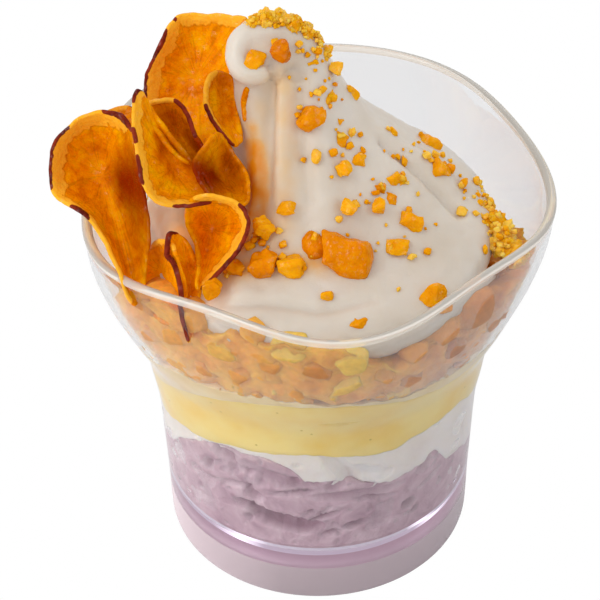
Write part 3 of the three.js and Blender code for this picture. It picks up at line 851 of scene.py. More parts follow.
def build_layers():
    purple = build_layer(
        "purple_mash", PURPLE, floor_level, PURPLE_TOP, 0, purple_recess
    )
    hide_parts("purple_cream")
    white = build_layer(
        "white_cream_layer", WHITE, PURPLE_TOP, WHITE_TOP, 2.5, cream_recess
    )
    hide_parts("white_cream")
    yellow = build_layer(
        "yellow_cream_layer", YELLOW, WHITE_TOP, YELLOW_TOP, 1.0, flush
    )
    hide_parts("yellow_cream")
    upper = build_layer(
        "upper_cream_layer", SOAKED, YELLOW_TOP, UPPER_TOP, 1.0, flush
    )
    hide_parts("upper_cream")
    core = build_layer("cake_core", CAKE, UPPER_TOP, CRUMB_TOP, 1.5, crumb_recess)
    places = get_points(core.data)
    right = to_the_right(np.degrees(polar(places)[1]))
    add_values(core.data, "tone", 0.48 + 0.3 * right + 0.25 * bumps(places, 4.5, 3.0, 2))
    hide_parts("cake_crumbs")


# ------------------------------------------------------------------- lumps
def press_in(points, inset):
    """Points beyond the given depth in the cup's wall, pushed back to it."""
    radius, angle = polar(points)
    limit = wall_radius(points[:, 2], angle, inset)
    scale = np.minimum(1, limit / np.maximum(radius, 1e-6))
    return points * np.stack([scale, scale, np.ones_like(scale)], axis=-1)


def cube_grid(n):
    """Points and faces of a cube from -1 to 1 with n by n faces a side, joined at its edges."""
    grid = bmesh.new()
    bmesh.ops.create_cube(grid, size=2.0)
    bmesh.ops.subdivide_edges(grid, edges=grid.edges, cuts=n - 1, use_grid_fill=True)
    grid.verts.ensure_lookup_table()
    points = np.array([v.co[:] for v in grid.verts])
    faces = [[v.index for v in face.verts] for face in grid.faces]
    grid.free()
    return points, faces


COARSE, MEDIUM, FINE = 3, 5, 12
GRIDS = {n: cube_grid(n) for n in (COARSE, MEDIUM, FINE)}
BALL_RADIUS = 1.2  # of the ball that a lump's cube is rounded towards
CUT_SHARE = 0.92  # how much of what stands out beyond a cut is taken off
LUMP_WAVES = 4


def lump(rng, size, detail, round_share, cuts, rough=0.0):
    """Points of an uneven chunk: a rounded cube, cut by a few planes, waved, roughened
    and turned; one with few cuts stays upright."""
    cube = GRIDS[detail][0]
    ball = cube / np.linalg.norm(cube, axis=1, keepdims=True)
    points = cube * (1 - round_share) + ball * BALL_RADIUS * round_share
    for _ in range(cuts):
        normal = rng.normal(size=3)
        normal /= np.linalg.norm(normal)
        over = np.clip(points @ normal - rng.uniform(0.6, 0.95), 0, None)
        points = points - over[:, None] * normal * CUT_SHARE
    for _ in range(LUMP_WAVES):
        wave = rng.normal(size=3) * 2.2
        push = rng.normal(size=3) * 0.05
        points = points + np.sin(points @ wave + rng.uniform(0, TAU))[:, None] * push
    if rough:
        points = points + ball * (rough * bumps(points + rng.uniform(0, 50, 3), 0.6, 0, 4))[:, None]
    spin = Matrix.Rotation(rng.uniform(0, TAU), 3, Vector(rng.normal(size=3)))
    if cuts <= 3:
        spin = Matrix.Rotation(rng.uniform(0, TAU), 3, "Z")
    points = points @ np.array(spin).T
    reach = (points.max(axis=0) - points.min(axis=0)) / 2
    return points / reach * (np.asarray(size) / 2)


TONE_STEP = 3  # every third point of the lumps hands its tone on to their skin
TONE_BLUR = 50  # how many times each point's tone goes halfway to its neighbours' mean


class Pile:
    """Many lumps gathered into one mesh, each with a tone of its own."""

    def __init__(self):
        self.points = []
        self.faces = []
        self.tones = []
        self.count = 0

    def add(self, rng, place, size, detail, tone, in_cup=False, **shape):
        points = lump(rng, size, detail, **shape) + np.asarray(place)
        if in_cup:
            points = press_in(points, REACH - rng.uniform(0, 0.2))
        self.points.append(points)
        self.faces += shifted(GRIDS[detail][1], self.count)
        self.tones.append(np.full(len(points), tone))
        self.count += len(points)

    def build(self, name, material):
        tones = {"tone": np.concatenate(self.tones)}
        return make_object(name, np.vstack(self.points), self.faces, [material], tones)


def melt_together(obj, pile):
    """One soft skin over all the lumps, whose tones run into one another."""
    run_together(obj, voxel_mm=0.5, rounds=8)
    sources = np.vstack(pile.points)[::TONE_STEP]
    tones = np.concatenate(pile.tones)[::TONE_STEP]
    tree = KDTree(len(sources))
    for index, source in enumerate(sources):
        tree.insert(source, index)
    tree.balance()
    tone = np.array([tones[tree.find(point)[1]] for point in get_points(obj.data)])
    edges = np.empty(2 * len(obj.data.edges), int)
    obj.data.edges.foreach_get("vertices", edges)
    starts, ends = edges.reshape(-1, 2).T
    ways = np.bincount(edges, minlength=len(tone))
    for _ in range(TONE_BLUR):
        total = np.bincount(starts, tone[ends], len(tone))
        total += np.bincount(ends, tone[starts], len(tone))
        tone = (tone + total / np.maximum(ways, 1)) / 2
    add_values(obj.data, "tone", tone)


# ------------------------------------------------------------- cake pieces
# Larger chunks of cake pressed against the wall: angle, height, the chunk's width and
# height, tone (0 pale, 1 brown).
CAKE_CHUNKS = [
    (-116, 76, 8.5, 7, 0.28), (-97, 79.4, 7.5, 5, 0.08), (-90.5, 74.8, 6.5, 6.5, 0.8),
    (-82.5, 77.2, 7.5, 6.4, 0.0), (-81.5, 71, 7.2, 6.8, 0.05), (-102, 75.6, 6.6, 6.4, 0.62),
    (-74, 71, 5.8, 5, 0.6), (-65, 67.4, 7.6, 5, 0.85), (-42, 75.5, 8.5, 8.6, 0.85),
    (-55, 75, 8.6, 5.6, 0.72), (-131, 73.6, 8.6, 7.5, 0.5), (-140, 78.5, 6, 6, 0.7),
    (-111, 69, 6.6, 5, 0.55), (-122.5, 67.4, 6, 5, 0.62), (-95, 68.2, 5.8, 4.6, 0.6),
    (-107, 80.4, 5.6, 4.8, 0.42), (-64, 74.4, 6.5, 5, 0.65), (-125, 80, 6.5, 5.5, 0.48),
    (-50, 69.5, 6.5, 5.5, 0.9), (-35, 69, 6.5, 6, 0.8), (-139, 70, 6.5, 6, 0.6),
]
FILLERS = 120  # lumps tried at the wall between the large chunks
BITS = 110  # small bits along the top of the cream below
TOP_LUMPS = 170  # lumps on top, from the right round the back to the left
PALE_SHARE = 0.16  # how many of these pieces are pale


def crumb_tone(degrees, rng):
    """Orange-tan on the left, browner on the right, with pale pieces among them."""
    if rng.uniform() < PALE_SHARE:
        return rng.uniform(0.0, 0.2)
    right = to_the_right(off_angle(degrees, 0))
    return np.clip(0.5 + 0.3 * right + rng.normal() * 0.12, 0, 1)


def build_cake_pieces():
    rng = np.random.default_rng(11)
    pile = Pile()

    def add(degrees, place, size, least, detail, **shape):
        tone = crumb_tone(degrees, rng)
        sizes = size * rng.uniform(least, 1.2, 3)
        pile.add(rng, place, sizes, detail, tone, in_cup=True, cuts=4, **shape)

    large = []
    for degrees, z, wide, tall, tone in CAKE_CHUNKS:
        place = at_wall(z, math.radians(degrees), REACH + 0.4 * wide)
        large.append(place)
        sizes = (wide, wide, tall)
        pile.add(rng, place, sizes, FINE, tone, in_cup=True, round_share=0.5, cuts=3, rough=0.15)
    for _ in range(FILLERS):
        degrees = rng.uniform(0, 360)
        size = rng.uniform(3.6, 6.8)
        low = height_at(UPPER_TOP, 1.0, degrees) + 0.3 * size
        high = height_at(CRUMB_TOP, 1.0, degrees) - 0.2 * size
        height = rng.uniform(low, max(low, high))
        place = at_wall(height, math.radians(degrees), REACH + 0.55 * size)
        if min(np.linalg.norm(place - other) for other in large) >= 0.4 * size + 3:
            add(degrees, place, size, 0.8, FINE, round_share=0.6, rough=0.15)
    for _ in range(BITS):
        degrees = rng.uniform(0, 360)
        size = rng.uniform(1.2, 2.4)
        height = height_at(UPPER_TOP, 1.0, degrees) - 0.4 + abs(rng.normal()) * 2.0
        place = at_wall(height, math.radians(degrees), REACH + size * 0.4)
        add(degrees, place, size, 0.7, MEDIUM, round_share=0.5)
    for _ in range(TOP_LUMPS):
        degrees = rng.uniform(-25, 215)
        share = rng.uniform(0.62, 0.96)
        size = rng.uniform(3.0, 6.0)
        height = height_at(CRUMB_TOP, share, degrees) - 0.25 * size
        place = at_wall(height, math.radians(degrees), REACH) * [share, share, 1]
        add(degrees, place, size, 0.8, FINE, round_share=0.6, rough=0.15)
    pieces = pile.build("cake_pieces", CAKE)
    melt_together(pieces, pile)
    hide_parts("cake_crumbs")


# ------------------------------------------------------------ soft serve
HEAP_LEVELS = 90
HEAP_SEGMENTS = 160
# Level, centre x, centre y, half-width, half-depth of the heap.
HEAP = [
    (60, 1, -4, 14, 15), (66, 1, -6, 24, 25), (73, 1, -6, 32, 33.4), (78, 0.5, -6.5, 34, 36),
    (80.4, 0.3, -6.5, 33.8, 35), (82.4, 0, -5, 32.6, 31.2), (84.4, -0.4, -3.2, 31, 27.2),
    (86.6, -1, -2.4, 28.4, 24.2), (89.4, -1.8, -1.6, 25, 21.8), (92.8, -2.6, -0.8, 21.2, 19.2),
    (96.4, -3.6, 0.4, 17.2, 16.6), (100, -4.2, 1.6, 14.2, 14.2), (104, -4.9, 2.6, 11.9, 12.2),
    (108, -5.5, 3.8, 10.3, 10.4), (112, -6.2, 4.6, 8.8, 9),
]
SWEEP_STEPS = 40
SWEEP_SEGMENTS = 48
# The tip's bent mass, then the ribbon that curls round the hollow in its front:
# centre x, y, z, half-width, half-height.
TIP = [
    (-5.6, 5.4, 104, 9.4, 8.6), (-5.6, 6, 109.6, 9.4, 7.8), (-6.6, 5.4, 113.4, 8.4, 5.8),
    (-8.2, 3.8, 115.0, 7.2, 4.6), (-10, 1.4, 114.8, 6.2, 4.0), (-11.2, -0.8, 113, 5.2, 3.2),
    (-11.8, -2.4, 111.4, 3.8, 2.2),
]
TIP_SIDE = Vector((0.86, -0.5, 0))
HOOK = [
    (-1.0, 4.2, 115.0, 2.0, 2.0), (-4.6, 3.6, 117.6, 2.5, 2.5), (-8.6, 2.6, 118.8, 2.5, 2.5),
    (-12.2, 1.8, 118.4, 2.4, 2.4), (-13.9, 0.2, 117.2, 2.2, 2.2), (-14.3, -1.6, 115.9, 2.1, 2.1),
    (-13.5, -3.5, 114.6, 2.1, 2.1), (-11.8, -4.4, 114.2, 2.0, 2.0), (-10.0, -4.6, 114.3, 1.9, 1.9),
    (-8.6, -4.2, 114.8, 1.5, 1.5),
]
HOOK_SIDE = Vector((0, -0.75, 0.66))

# Ridges and furrows drawn by the nozzle, the folds where one turn lies on another, the
# dents and swells under the chips, and last the crease and ridge below the hook: line,
# width, how far it stands out (or in, if negative).
STROKES = [
    ([(-6, -3.5, 112.5), (-5.9, -7.5, 105.8), (-6.1, -14.7, 97.1), (-6.3, -20.6, 92)], 2.2, 0.9),
    ([(-2.8, -3.1, 112), (-2.5, -5.6, 106.6), (-2.1, -10.9, 101.2), (-1.6, -17.1, 94.1)], 1.5, -1),
    ([(0.7, -3, 107), (1.3, -10.7, 101), (1.8, -17.3, 94.2), (1.6, -22.2, 88.8)], 2.4, 0.7),
    ([(-8.4, -4.8, 109.6), (-8.9, -8.7, 104.4), (-10, -15.1, 97.5), (-11, -20.7, 90)], 1.8, -1.2),
    (
        [(13, -3.5, 97), (17.2, -4.9, 94.1), (20.1, -6.2, 91.7), (22.9, -7.9, 89),
         (27.4, -10.8, 85.4)],
        1.3, -1.3,
    ),
    ([(14, -1, 97), (18, -1, 94.6), (22, -2.4, 91.6), (26, -4.6, 88)], 2.6, 1.0),
    ([(-18.2, -32.2, 81.6), (-8.3, -33.5, 82.9), (0.2, -35.5, 82.5), (10, -33, 82.6)], 1.2, -0.7),
    ([(-10, -36.4, 81.6), (0, -38.4, 81.2), (10, -36.6, 81.4)], 2.4, 0.5),
    ([(-22, -2, 98), (-19, -11, 97), (-17.5, -15, 93)], 5.5, -4.5),
    ([(-18.5, -24, 89), (-21, -27, 85)], 4.0, -2.5),
    ([(-29, -15, 91), (-27, -19, 87)], 3.6, 2.5),
    ([(-30, -8, 85), (-28, -13, 86), (-26.5, -19, 87)], 4.0, 2.4),
    (
        [(-7.8, -3.6, 115.6), (-7.8, -4.4, 112.4), (-8.2, -7.0, 106.5), (-8.6, -11.5, 101),
         (-9.4, -16, 96)],
        1.0, -1.2,
    ),
    ([(-5.9, -4.2, 111), (-6.0, -7.5, 106), (-6.3, -12.5, 100.5), (-6.6, -18, 94)], 1.3, 0.9),
]
# Where syrup from the chips and the dice has soaked in, tinted also as a painted reflection of
# their orange light: line, width, strength.
SOAKS_AND_REFLECTIONS = [
    ([(-12.6, -10.2, 100.2), (-12.8, -13.6, 95.4), (-14, -17.5, 91.5), (-15, -21, 89)], 3.0, 1.05),
    ([(-12.2, -7.4, 103.8), (-11.6, -9.4, 101.2)], 1.8, 0.5),
    ([(-10.9, -10.7, 99.6), (-10.7, -13, 96.8), (-10.8, -15.5, 94), (-12, -19.5, 90.5)], 2.2, 0.75),
    ([(-9.9, -5.5, 107), (-9.4, -8, 103.6)], 2.4, 0.14),
    (
        [(-6.5, -4.5, 112), (-5.8, -9, 106.5), (-5.8, -13.6, 101), (-6.3, -18, 96), (-8, -24, 89)],
        3.6, 0.22,
    ),
    ([(-11.5, 0.5, 115.5), (-9.6, 0, 115.5)], 2.6, 0.14),
    ([(-20, -27, 85), (-8, -26, 86), (4, -26, 86)], 2.4, 0.45),
    ([(-24, -10, 98), (-24, -20, 90)], 5.0, 0.5),
]
# Where the soft serve is painted lighter, with a painted glow, for light that comes through the
# chips: line, width, strength.
PAINTED_LIGHT_LINES = [
    (
        [(-32, -6, 86), (-30.5, -12, 87.5), (-29, -18, 88.5), (-25, -26, 87), (-21, -31, 85)],
        5.0, 1.0,
    ),
]


def build_heap():
    """A skin of level oval rings, one over another."""
    columns = [smooth_curve([(row[0], row[k]) for row in HEAP]) for k in range(1, 5)]
    angle = full_turn(HEAP_SEGMENTS)
    rings = []
    for z in np.linspace(HEAP[0][0], HEAP[-1][0], HEAP_LEVELS):
        cx, cy, rx, ry = (column(z) for column in columns)
        rings.append(circle(angle, z) * [rx, ry, 1] + [cx, cy, 0])
    bottom, top = HEAP[0], HEAP[-1]
    return ring_skin(rings, [bottom[1], bottom[2], bottom[0]], [top[1], top[2], top[0] + 1])


def sweep(rows, across):
    """A skin of oval rings along a bent line; `across` is about the way its width lies."""
    turns = np.linspace(0, len(rows) - 1, SWEEP_STEPS)
    columns = [smooth_curve([(k, row[c]) for k, row in enumerate(rows)]) for c in range(5)]
    centres = np.stack([columns[c](turns) for c in range(3)], axis=-1)
    angle = full_turn(SWEEP_SEGMENTS)
    rings = []
    for index, turn in enumerate(turns):
        before = centres[max(0, index - 1)]
        after = centres[min(len(turns) - 1, index + 1)]
        along = Vector(after - before).normalized()
        side = (across - along * across.dot(along)).normalized()
        up = along.cross(side)
        wide = columns[3](turn) * np.cos(angle)
        high = columns[4](turn) * np.sin(angle)
        rings.append(centres[index] + np.outer(wide, side) + np.outer(high, up))
    end = centres[-1] + (centres[-1] - centres[-2]) * 3
    return ring_skin(rings, centres[0], end)


def build_soft_serve():
    """The heap, the tip and the hook run together, then sculpted, pressed in, stained with syrup
    and painted orange reflection, and painted lighter where light comes through the chips.
    """
    points, faces = build_heap()
    for more_points, more_faces in (sweep(TIP, TIP_SIDE), sweep(HOOK, HOOK_SIDE)):
        faces = faces + shifted(more_faces, len(points))
        points = np.vstack([points, more_points])
    serve = make_object("soft_serve_swirl", points, faces, [SERVE])
    run_together(serve, voxel_mm=0.62, rounds=5)
    sculpt(serve.data, STROKES)
    points = get_points(serve.data)
    waves = 0.5 * bumps(points * [1, 1, 0.6], 9.0, 4.0, 2) + 0.12 * bumps(points, 2.0, 5.0, 2)
    points = points + get_normals(serve.data) * waves[:, None]
    low = points[:, 2] < CUP_HEIGHT - 1
    points[low] = press_in(points[low], REACH)
    set_points(serve.data, points)
    uneven = 1 + 0.5 * bumps(points, 2.6, 8.0, 3)
    for name, lines in (("soak_and_reflection", SOAKS_AND_REFLECTIONS), ("pale", PAINTED_LIGHT_LINES)):
        share = np.zeros(len(points))
        for line, width, strength in lines:
            share = np.maximum(share, strength * near_line(points, line, width) * uneven)
        add_values(serve.data, name, np.clip(share, 0, 1))
    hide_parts("soft_serve")
    return serve


# --------------------------------------------------------------- the chips
# Each chip: eight points round its outline (45 degrees apart, by its own count), its
# middle, the stretches with dark skin, the stretches with a pale band (each from, to,
# width in mm), how much painted shade it has all over, and the places of painted shade where
# it lies in shadow (angle, spread of the angle, share of the way out where it starts and where it
# is full).
CHIPS = {
    "chip_back": (
        [(-14.5, 5, 108), (-12.5, 9, 117), (-20.5, 14, 115), (-27, 13, 114), (-31, 9, 107.5),
         (-32, 4, 101), (-26, -3, 93.5), (-17, -4, 98.5)],
        (-22.5, 11, 102), [(126, 132, 0.2), (146, 176, 0.4), (176, 228, 0.1)],
        [(48, 132, 1.7), (128, 236, 2.9)], 0.0, [],
    ),
    "chip_left": (
        [(-31.5, -22, 89.5), (-33, -15, 102.5), (-35.5, -7, 106.5), (-43.5, -4, 104.5),
         (-50, -8, 98), (-47.5, -15, 92.5), (-39.5, -23, 90), (-34.5, -30, 80)],
        (-40.5, -4, 90), [(72, 118, 0.6), (150, 205, 0.1), (232, 252, 0.7)],
        [(78, 216, 3.3), (205, 310, 0.9)], 0.0, [(28, 40, 0.0, 0.45)],
    ),
    "chip_behind": (
        [(-33.5, 3, 100), (-34.5, 4, 100.5), (-37, 5, 100), (-40, 4, 99.5), (-40.5, 3, 99),
         (-39, 2, 97), (-36.5, 1, 96.5), (-34.5, 2, 98)],
        (-37, 3, 98.5), [(-20, 60, 0.3)], [(60, 170, 0.6)], 0.25, [],
    ),
    "chip_front": (
        [(-19, -20, 98), (-24, -14, 103.5), (-29.5, -10, 109), (-32.5, -9.5, 115),
         (-33.5, -15, 111.5), (-32.5, -20, 105.5), (-30.5, -24, 100.5), (-24, -23.5, 98.5)],
        (-27, -13, 99.5), [(126, 160, 0.2), (184, 200, 0.5), (214, 246, 0.2), (302, 346, 0.15)],
        [(120, 262, 2.4), (250, 335, 1.8)], 0.05, [(20, 40, 0.4, 1.0)],
    ),
    "chip_curl": (
        [(-12.5, -25, 95.5), (-14.5, -23, 98.5), (-18.5, -22.5, 100), (-23.5, -22, 98),
         (-23.5, -22, 90), (-22, -28, 88), (-22, -31.5, 85), (-16, -28.5, 89.5)],
        (-19.5, -17, 87.5), [(-86, 42, 0.3)], [(-80, 126, 2.3)], 0.0, [(200, 45, 0.6, 1.4)],
    ),
    "chip_fold": (
        [(-22, -12.5, 106), (-24.5, -7.5, 109), (-28.5, -6, 110), (-31.5, -7.5, 109.5),
         (-31.5, -10, 108), (-28, -13, 105.5), (-23.5, -15, 101.5), (-20.5, -14, 102.5)],
        (-26.5, -3.5, 101), [(0, 66, 0.35)], [(66, 165, 0.6)], 0.2, [(-20, 60, 0.1, 0.9)],
    ),
    "chip_inner": (
        [(-12.5, -19, 96.5), (-13.5, -13, 99), (-16, -9.5, 101), (-18, -12, 106.5),
         (-21, -15.5, 105.5), (-22.5, -18, 103), (-19.5, -20.5, 98), (-15, -21, 96)],
        (-17.5, -9.5, 94.5), [], [], 0.25, [(235, 60, 0.0, 0.45)],
    ),
    "chip_slim": (
        [(-15, -3, 105.5), (-15, 0, 108.5), (-17.5, 1, 111), (-20, -2, 111.5), (-20.5, -5.5, 109),
         (-18.5, -8.5, 105.5), (-15, -9.5, 101.5), (-14, -7, 103)],
        (-17.5, -1, 105), [(186, 268, 0.15)], [(100, 240, 0.6)], 0.2, [],
    ),
    "chip_sliver": (
        [(-11.6, -2.6, 107), (-11.8, -2.6, 108.8), (-12.4, -3, 110), (-13.2, -3.4, 109),
         (-13.6, -4, 107), (-13.6, -4.8, 105), (-13.2, -5.4, 104), (-12.2, -4, 105)],
        (-12.6, -3.4, 107), [], [], 0.15, [],
    ),
    "chip_low_left": (
        [(-25.5, -29, 88.5), (-27, -25, 90.5), (-29.5, -22, 89), (-32, -20, 84.5), (-33, -22, 81),
         (-32, -27, 78.5), (-28, -31.5, 77), (-24.5, -31, 81.5)],
        (-29, -22, 81.5), [(208, 236, 0.5)], [(30, 120, 0.4)], 0.0, [],
    ),
    "chip_low_right": (
        [(-22, -28.5, 83), (-23.5, -23, 87.5), (-26.5, -22, 91), (-28, -25, 91.5), (-28, -27, 89),
         (-26, -31, 88), (-24.5, -36, 77), (-23, -33, 78)],
        (-25, -25, 84.5), [(84, 276, 0.5)], [], 0.0, [],
    ),
}
CHIP_THICKNESS = 1.1
CHIP_SEGMENTS = 160
CHIP_SHARES = np.concatenate([np.linspace(0.06, 0.84, 18), np.linspace(0.875, 1.0, 10)])
UNMARKED = -1.5  # the edge width where there is no mark
TAPER = 16  # degrees over which a mark grows to its full width
RIPPLE = 0.35  # how far a slice's face is uneven
NICK = 0.02  # how uneven its outline is, as a share of its size
THIN_FROM = 0.9  # the share of the way out from where it grows thinner
RIM_STEP = 0.35  # how far its edge stands out, in steps between its last two rings
SKIN_BLUR, BAND_BLUR = 1.5, 3.0  # mm over which the marks fade
FIBRE_TURN, FIBRE_REACH = 8.0, 2.6  # scale of the fibres' pattern round and outwards


def chip_waves(outline):
    """The outline's eight points as a sum of waves, which fade towards the middle."""
    outline = np.asarray(outline, float)
    turn = full_turn(8)
    waves = []
    for k in range(5):
        scale = 1 / 8 if k in (0, 4) else 1 / 4
        cosine = scale * np.cos(k * turn) @ outline
        sine = scale * np.sin(k * turn) @ outline
        waves.append((cosine, sine))
    return waves


def chip_sheet(waves, middle, share, angle):
    """Points of the slice's middle surface at a share of the way out, all round."""
    middle = np.asarray(middle, float)
    points = middle * (1 - share**2) + waves[0][0] * share**2
    points = np.tile(points, (len(angle), 1))
    for k in range(1, 5):
        points += share**k * np.outer(np.cos(k * angle), waves[k][0])
        points += share**k * np.outer(np.sin(k * angle), waves[k][1])
    return points


def edge_width(angle, stretches, seed):
    """How far a mark reaches in from the outline, mm: uneven, and tapered at its ends."""
    degrees = np.degrees(angle)
    ragged = 1 + 0.6 * bumps(circle(angle, 0) * 5, 1.0, seed + 20, 3)
    width = np.full_like(angle, UNMARKED)
    for start, end, most in stretches:
        half = (end - start) / 2
        off = np.abs(off_angle(degrees, start + half))
        taper = np.clip((half - off) / min(TAPER, half), -1, 1)
        tapered = most * np.sqrt(np.abs(taper)) * ragged
        width = np.maximum(width, np.where(taper > 0, tapered, 3 * taper))
    return np.maximum(width, UNMARKED)


def build_chip(name, outline, middle, skins, bands, shade_painted, shaded_places, seed):
    """A curled slice, thinner at its edge, with the marks of its skin and band, and its painted
    shade.
    """
    waves = chip_waves(outline)
    angle = full_turn(CHIP_SEGMENTS)
    sheets = np.array([chip_sheet(waves, middle, share, angle) for share in CHIP_SHARES])
    ripple = bumps(sheets.reshape(-1, 3), 5.0, seed, 3).reshape(sheets.shape[:2])
    along = np.gradient(sheets, axis=0)
    across = np.roll(sheets, -1, axis=1) - np.roll(sheets, 1, axis=1)
    normals = np.cross(along, across)
    normals /= np.linalg.norm(normals, axis=2, keepdims=True)
    nick = NICK * bumps(circle(angle, 0) * 4, 1.0, seed, 3)
    nicked = (CHIP_SHARES[:, None] ** 6 * nick[None, :])[..., None]
    rippled = normals * (RIPPLE * ripple)[..., None]
    sheets = sheets + (sheets - np.asarray(middle, float)) * nicked + rippled
    thinning = ((CHIP_SHARES - THIN_FROM) / 0.1).clip(0, 1)
    half = CHIP_THICKNESS / 2 * np.sqrt(1 - thinning**2 * 0.7)
    front = sheets + normals * half[:, None, None]
    back = sheets - normals * half[:, None, None]
    edge = sheets[-1] + (sheets[-1] - sheets[-2]) * RIM_STEP
    rings = [*front, edge, *back[::-1]]
    points, faces = ring_skin(rings, front[0].mean(axis=0), back[0].mean(axis=0))

    gaps = np.linalg.norm(points[:, None] - sheets[-1][None], axis=2)
    nearest = gaps.argmin(axis=1)
    inward = gaps.min(axis=1) - CHIP_THICKNESS / 3
    skin = edge_width(angle, skins, seed)[nearest] - inward
    band = edge_width(angle, bands, seed + 9)[nearest] - inward
    share = np.repeat([*CHIP_SHARES, 1.0, *CHIP_SHARES[::-1]], CHIP_SEGMENTS)
    turned = np.tile(angle, len(rings))
    fibre = np.zeros((len(points), 3))
    fibre[:-2, 0] = FIBRE_TURN * np.cos(turned)
    fibre[:-2, 1] = FIBRE_TURN * np.sin(turned)
    fibre[:-2, 2] = FIBRE_REACH * share
    fibre[:, 2] += 3.7 * seed
    # painted shade: darkening all over, and more at the shaded places
    painted_shade = np.full(len(points), shade_painted)
    for centre, spread, start, full in shaded_places:
        off = off_angle(np.degrees(turned), centre)
        rise = np.clip((share - start) / (full - start), 0, 1)
        painted_shade[:-2] = np.maximum(painted_shade[:-2], np.exp(-((off / spread) ** 2)) * rise)
    marks = {
        "skin": np.clip(0.5 + skin / SKIN_BLUR, 0, 1),
        "band": np.clip(0.5 + band / BAND_BLUR, 0, 1),
        "painted_shade": painted_shade,
        "fibre": fibre,
    }
    chip = make_object(name + "_slice", points, faces, [CHIP], marks)
    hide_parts(name)


def build_chips():
    for seed, (name, chip) in enumerate(CHIPS.items()):
        build_chip(name, *chip, seed + 1.0)


# -------------------------------------------------- candied sweet potato
# Name, centre, size and tone of the larger candied pieces.
CANDIED_PIECES = [
    ("candied_tip", (-5.7, -2.4, 118.2), (4.0, 3.8, 5.0), 0.85),
    ("candied_crest", (-0.9, -7.8, 106), (6.0, 5.4, 5.8), 0.62),
    ("candied_ridge", (6.4, 3.2, 103.2), (5.0, 4.0, 3.2), 0.3),
    ("candied_middle", (14.4, -10, 92.8), (4.6, 4.4, 4.6), 0.4),
    ("candied_right_high", (22.4, 6.4, 88.4), (6.2, 5.4, 4.2), 0.42),
    ("candied_right_low", (23.2, -3, 89.6), (5.4, 4.6, 4.6), 0.5),
    ("candied_flank", (17.8, -17.3, 88.4), (5.2, 4.8, 4.8), 0.45),
    ("candied_flank_low", (14.8, -22, 86.8), (6.0, 4.4, 3.0), 0.4),
    ("candied_chunk", (5.6, -24.6, 88.2), (9.8, 8.8, 8.6), 0.7),
    ("candied_chunk_side", (-0.6, -24.2, 88), (4.8, 5.0, 6.2), 0.75),
    ("candied_foot_a", (-4.9, -26.8, 86.4), (5.6, 5.4, 5.2), 0.4),
    ("candied_foot_b", (-10, -26.8, 86.8), (6.0, 5.6, 6.0), 0.7),
    ("candied_foot_c", (-15.6, -26, 85.2), (4.6, 4.2, 3.6), 0.65),
    ("candied_foot_d", (-9.8, -21.8, 91.4), (4.4, 4.2, 4.2), 0.4),
    ("candied_corner", (21.6, -31.2, 81.6), (5.6, 5.0, 6.4), 0.5),
    ("candied_ledge", (7.6, -37.8, 81.4), (4.4, 3.4, 2.4), 0.55),
]

# Dice too small to be named pieces: place, size, tone.
SMALL_DICE = [
    ((-10.9, -2.9, 116.4), 4.0, 0.5), ((2.1, -2.8, 106), 4.0, 0.35), ((4.4, -7.7, 100.7), 3.6, 0.5),
    ((5.6, -12.8, 98.2), 3.2, 0.35), ((8.1, -9.6, 97.5), 3.6, 0.4), ((14.7, 0.3, 95.4), 3.2, 0.35),
    ((6, -19.9, 94.3), 3.4, 0.3), ((11.9, -17.8, 92.7), 3.0, 0.4), ((-5.4, -20.2, 94.8), 3.4, 0.4),
    ((-0.3, 0.8, 112.9), 3.2, 0.4), ((4.3, 1.5, 110.8), 2.8, 0.25), ((12.4, -13.2, 93.6), 2.6, 0.7),
    ((13.8, -14.4, 91.6), 3.2, 0.6), ((4.6, -4.8, 103), 2.4, 0.45), ((16.2, -10.2, 92), 2.6, 0.4),
    ((-19.6, -31.4, 84.8), 3.8, 0.6),
]

# Where the finest crumbs have fallen: middle, spread, how many.
CRUMB_FALLS = [
    ((-2, 0, 116), (5, 4), 20), ((2, -3, 107), (6, 5), 24), ((10, -10, 96), (10, 9), 30),
    ((22, 0, 90), (7, 7), 20), ((-6, -24, 89), (10, 4), 22), ((12, -22, 88), (9, 6), 14),
    ((29, -6, 85), (4, 8), 14),
]
FALL_SPREAD = 0.6  # their standard deviation, as a share of that spread
ABOVE_ALL = 140.0  # a height from which crumbs fall onto anything
SUNK = 0.25  # where a crumb's middle lies over the surface, as a share of its size


def build_candied():
    for index, (name, place, size, tone) in enumerate(CANDIED_PIECES):
        rng = np.random.default_rng(40 + index)
        pile = Pile()
        pile.add(rng, place, size, FINE, tone, round_share=0.5, cuts=5, rough=0.1)
        piece = pile.build(name + "_dice", CANDIED)
        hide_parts(name)


def build_loose_crumbs(serve):
    """Small dice and crumbs, each set down on the soft serve beneath it."""
    graph = bpy.context.evaluated_depsgraph_get()
    ground = BVHTree.FromObject(serve, graph)
    rng = np.random.default_rng(5)
    pile = Pile()
    for place, size, tone in SMALL_DICE:
        sizes = size * rng.uniform(0.8, 1.15, 3)
        pile.add(rng, place, sizes, FINE, tone, round_share=0.5, cuts=5, rough=0.1)
    for middle, spread, count in CRUMB_FALLS:
        for _ in range(count):
            x = middle[0] + spread[0] * rng.normal() * FALL_SPREAD
            y = middle[1] + spread[1] * rng.normal() * FALL_SPREAD
            start = Vector(np.array([x, y, ABOVE_ALL]) * MM + AXIS)
            hit, normal, _, _ = ground.ray_cast(start, Vector((0, 0, -1)))
            if hit is None:
                continue
            size = 0.6 + 1.6 * rng.uniform() ** 2
            place = (np.array(hit + normal * SUNK * size * MM) - AXIS) / MM
            sizes = size * rng.uniform(0.7, 1.3, 3)
            tone = rng.uniform(0.1, 0.6)
            pile.add(rng, place, sizes, MEDIUM, tone, round_share=0.5, cuts=4, rough=0.15)
    crumbs = pile.build("loose_crumbs", CANDIED)


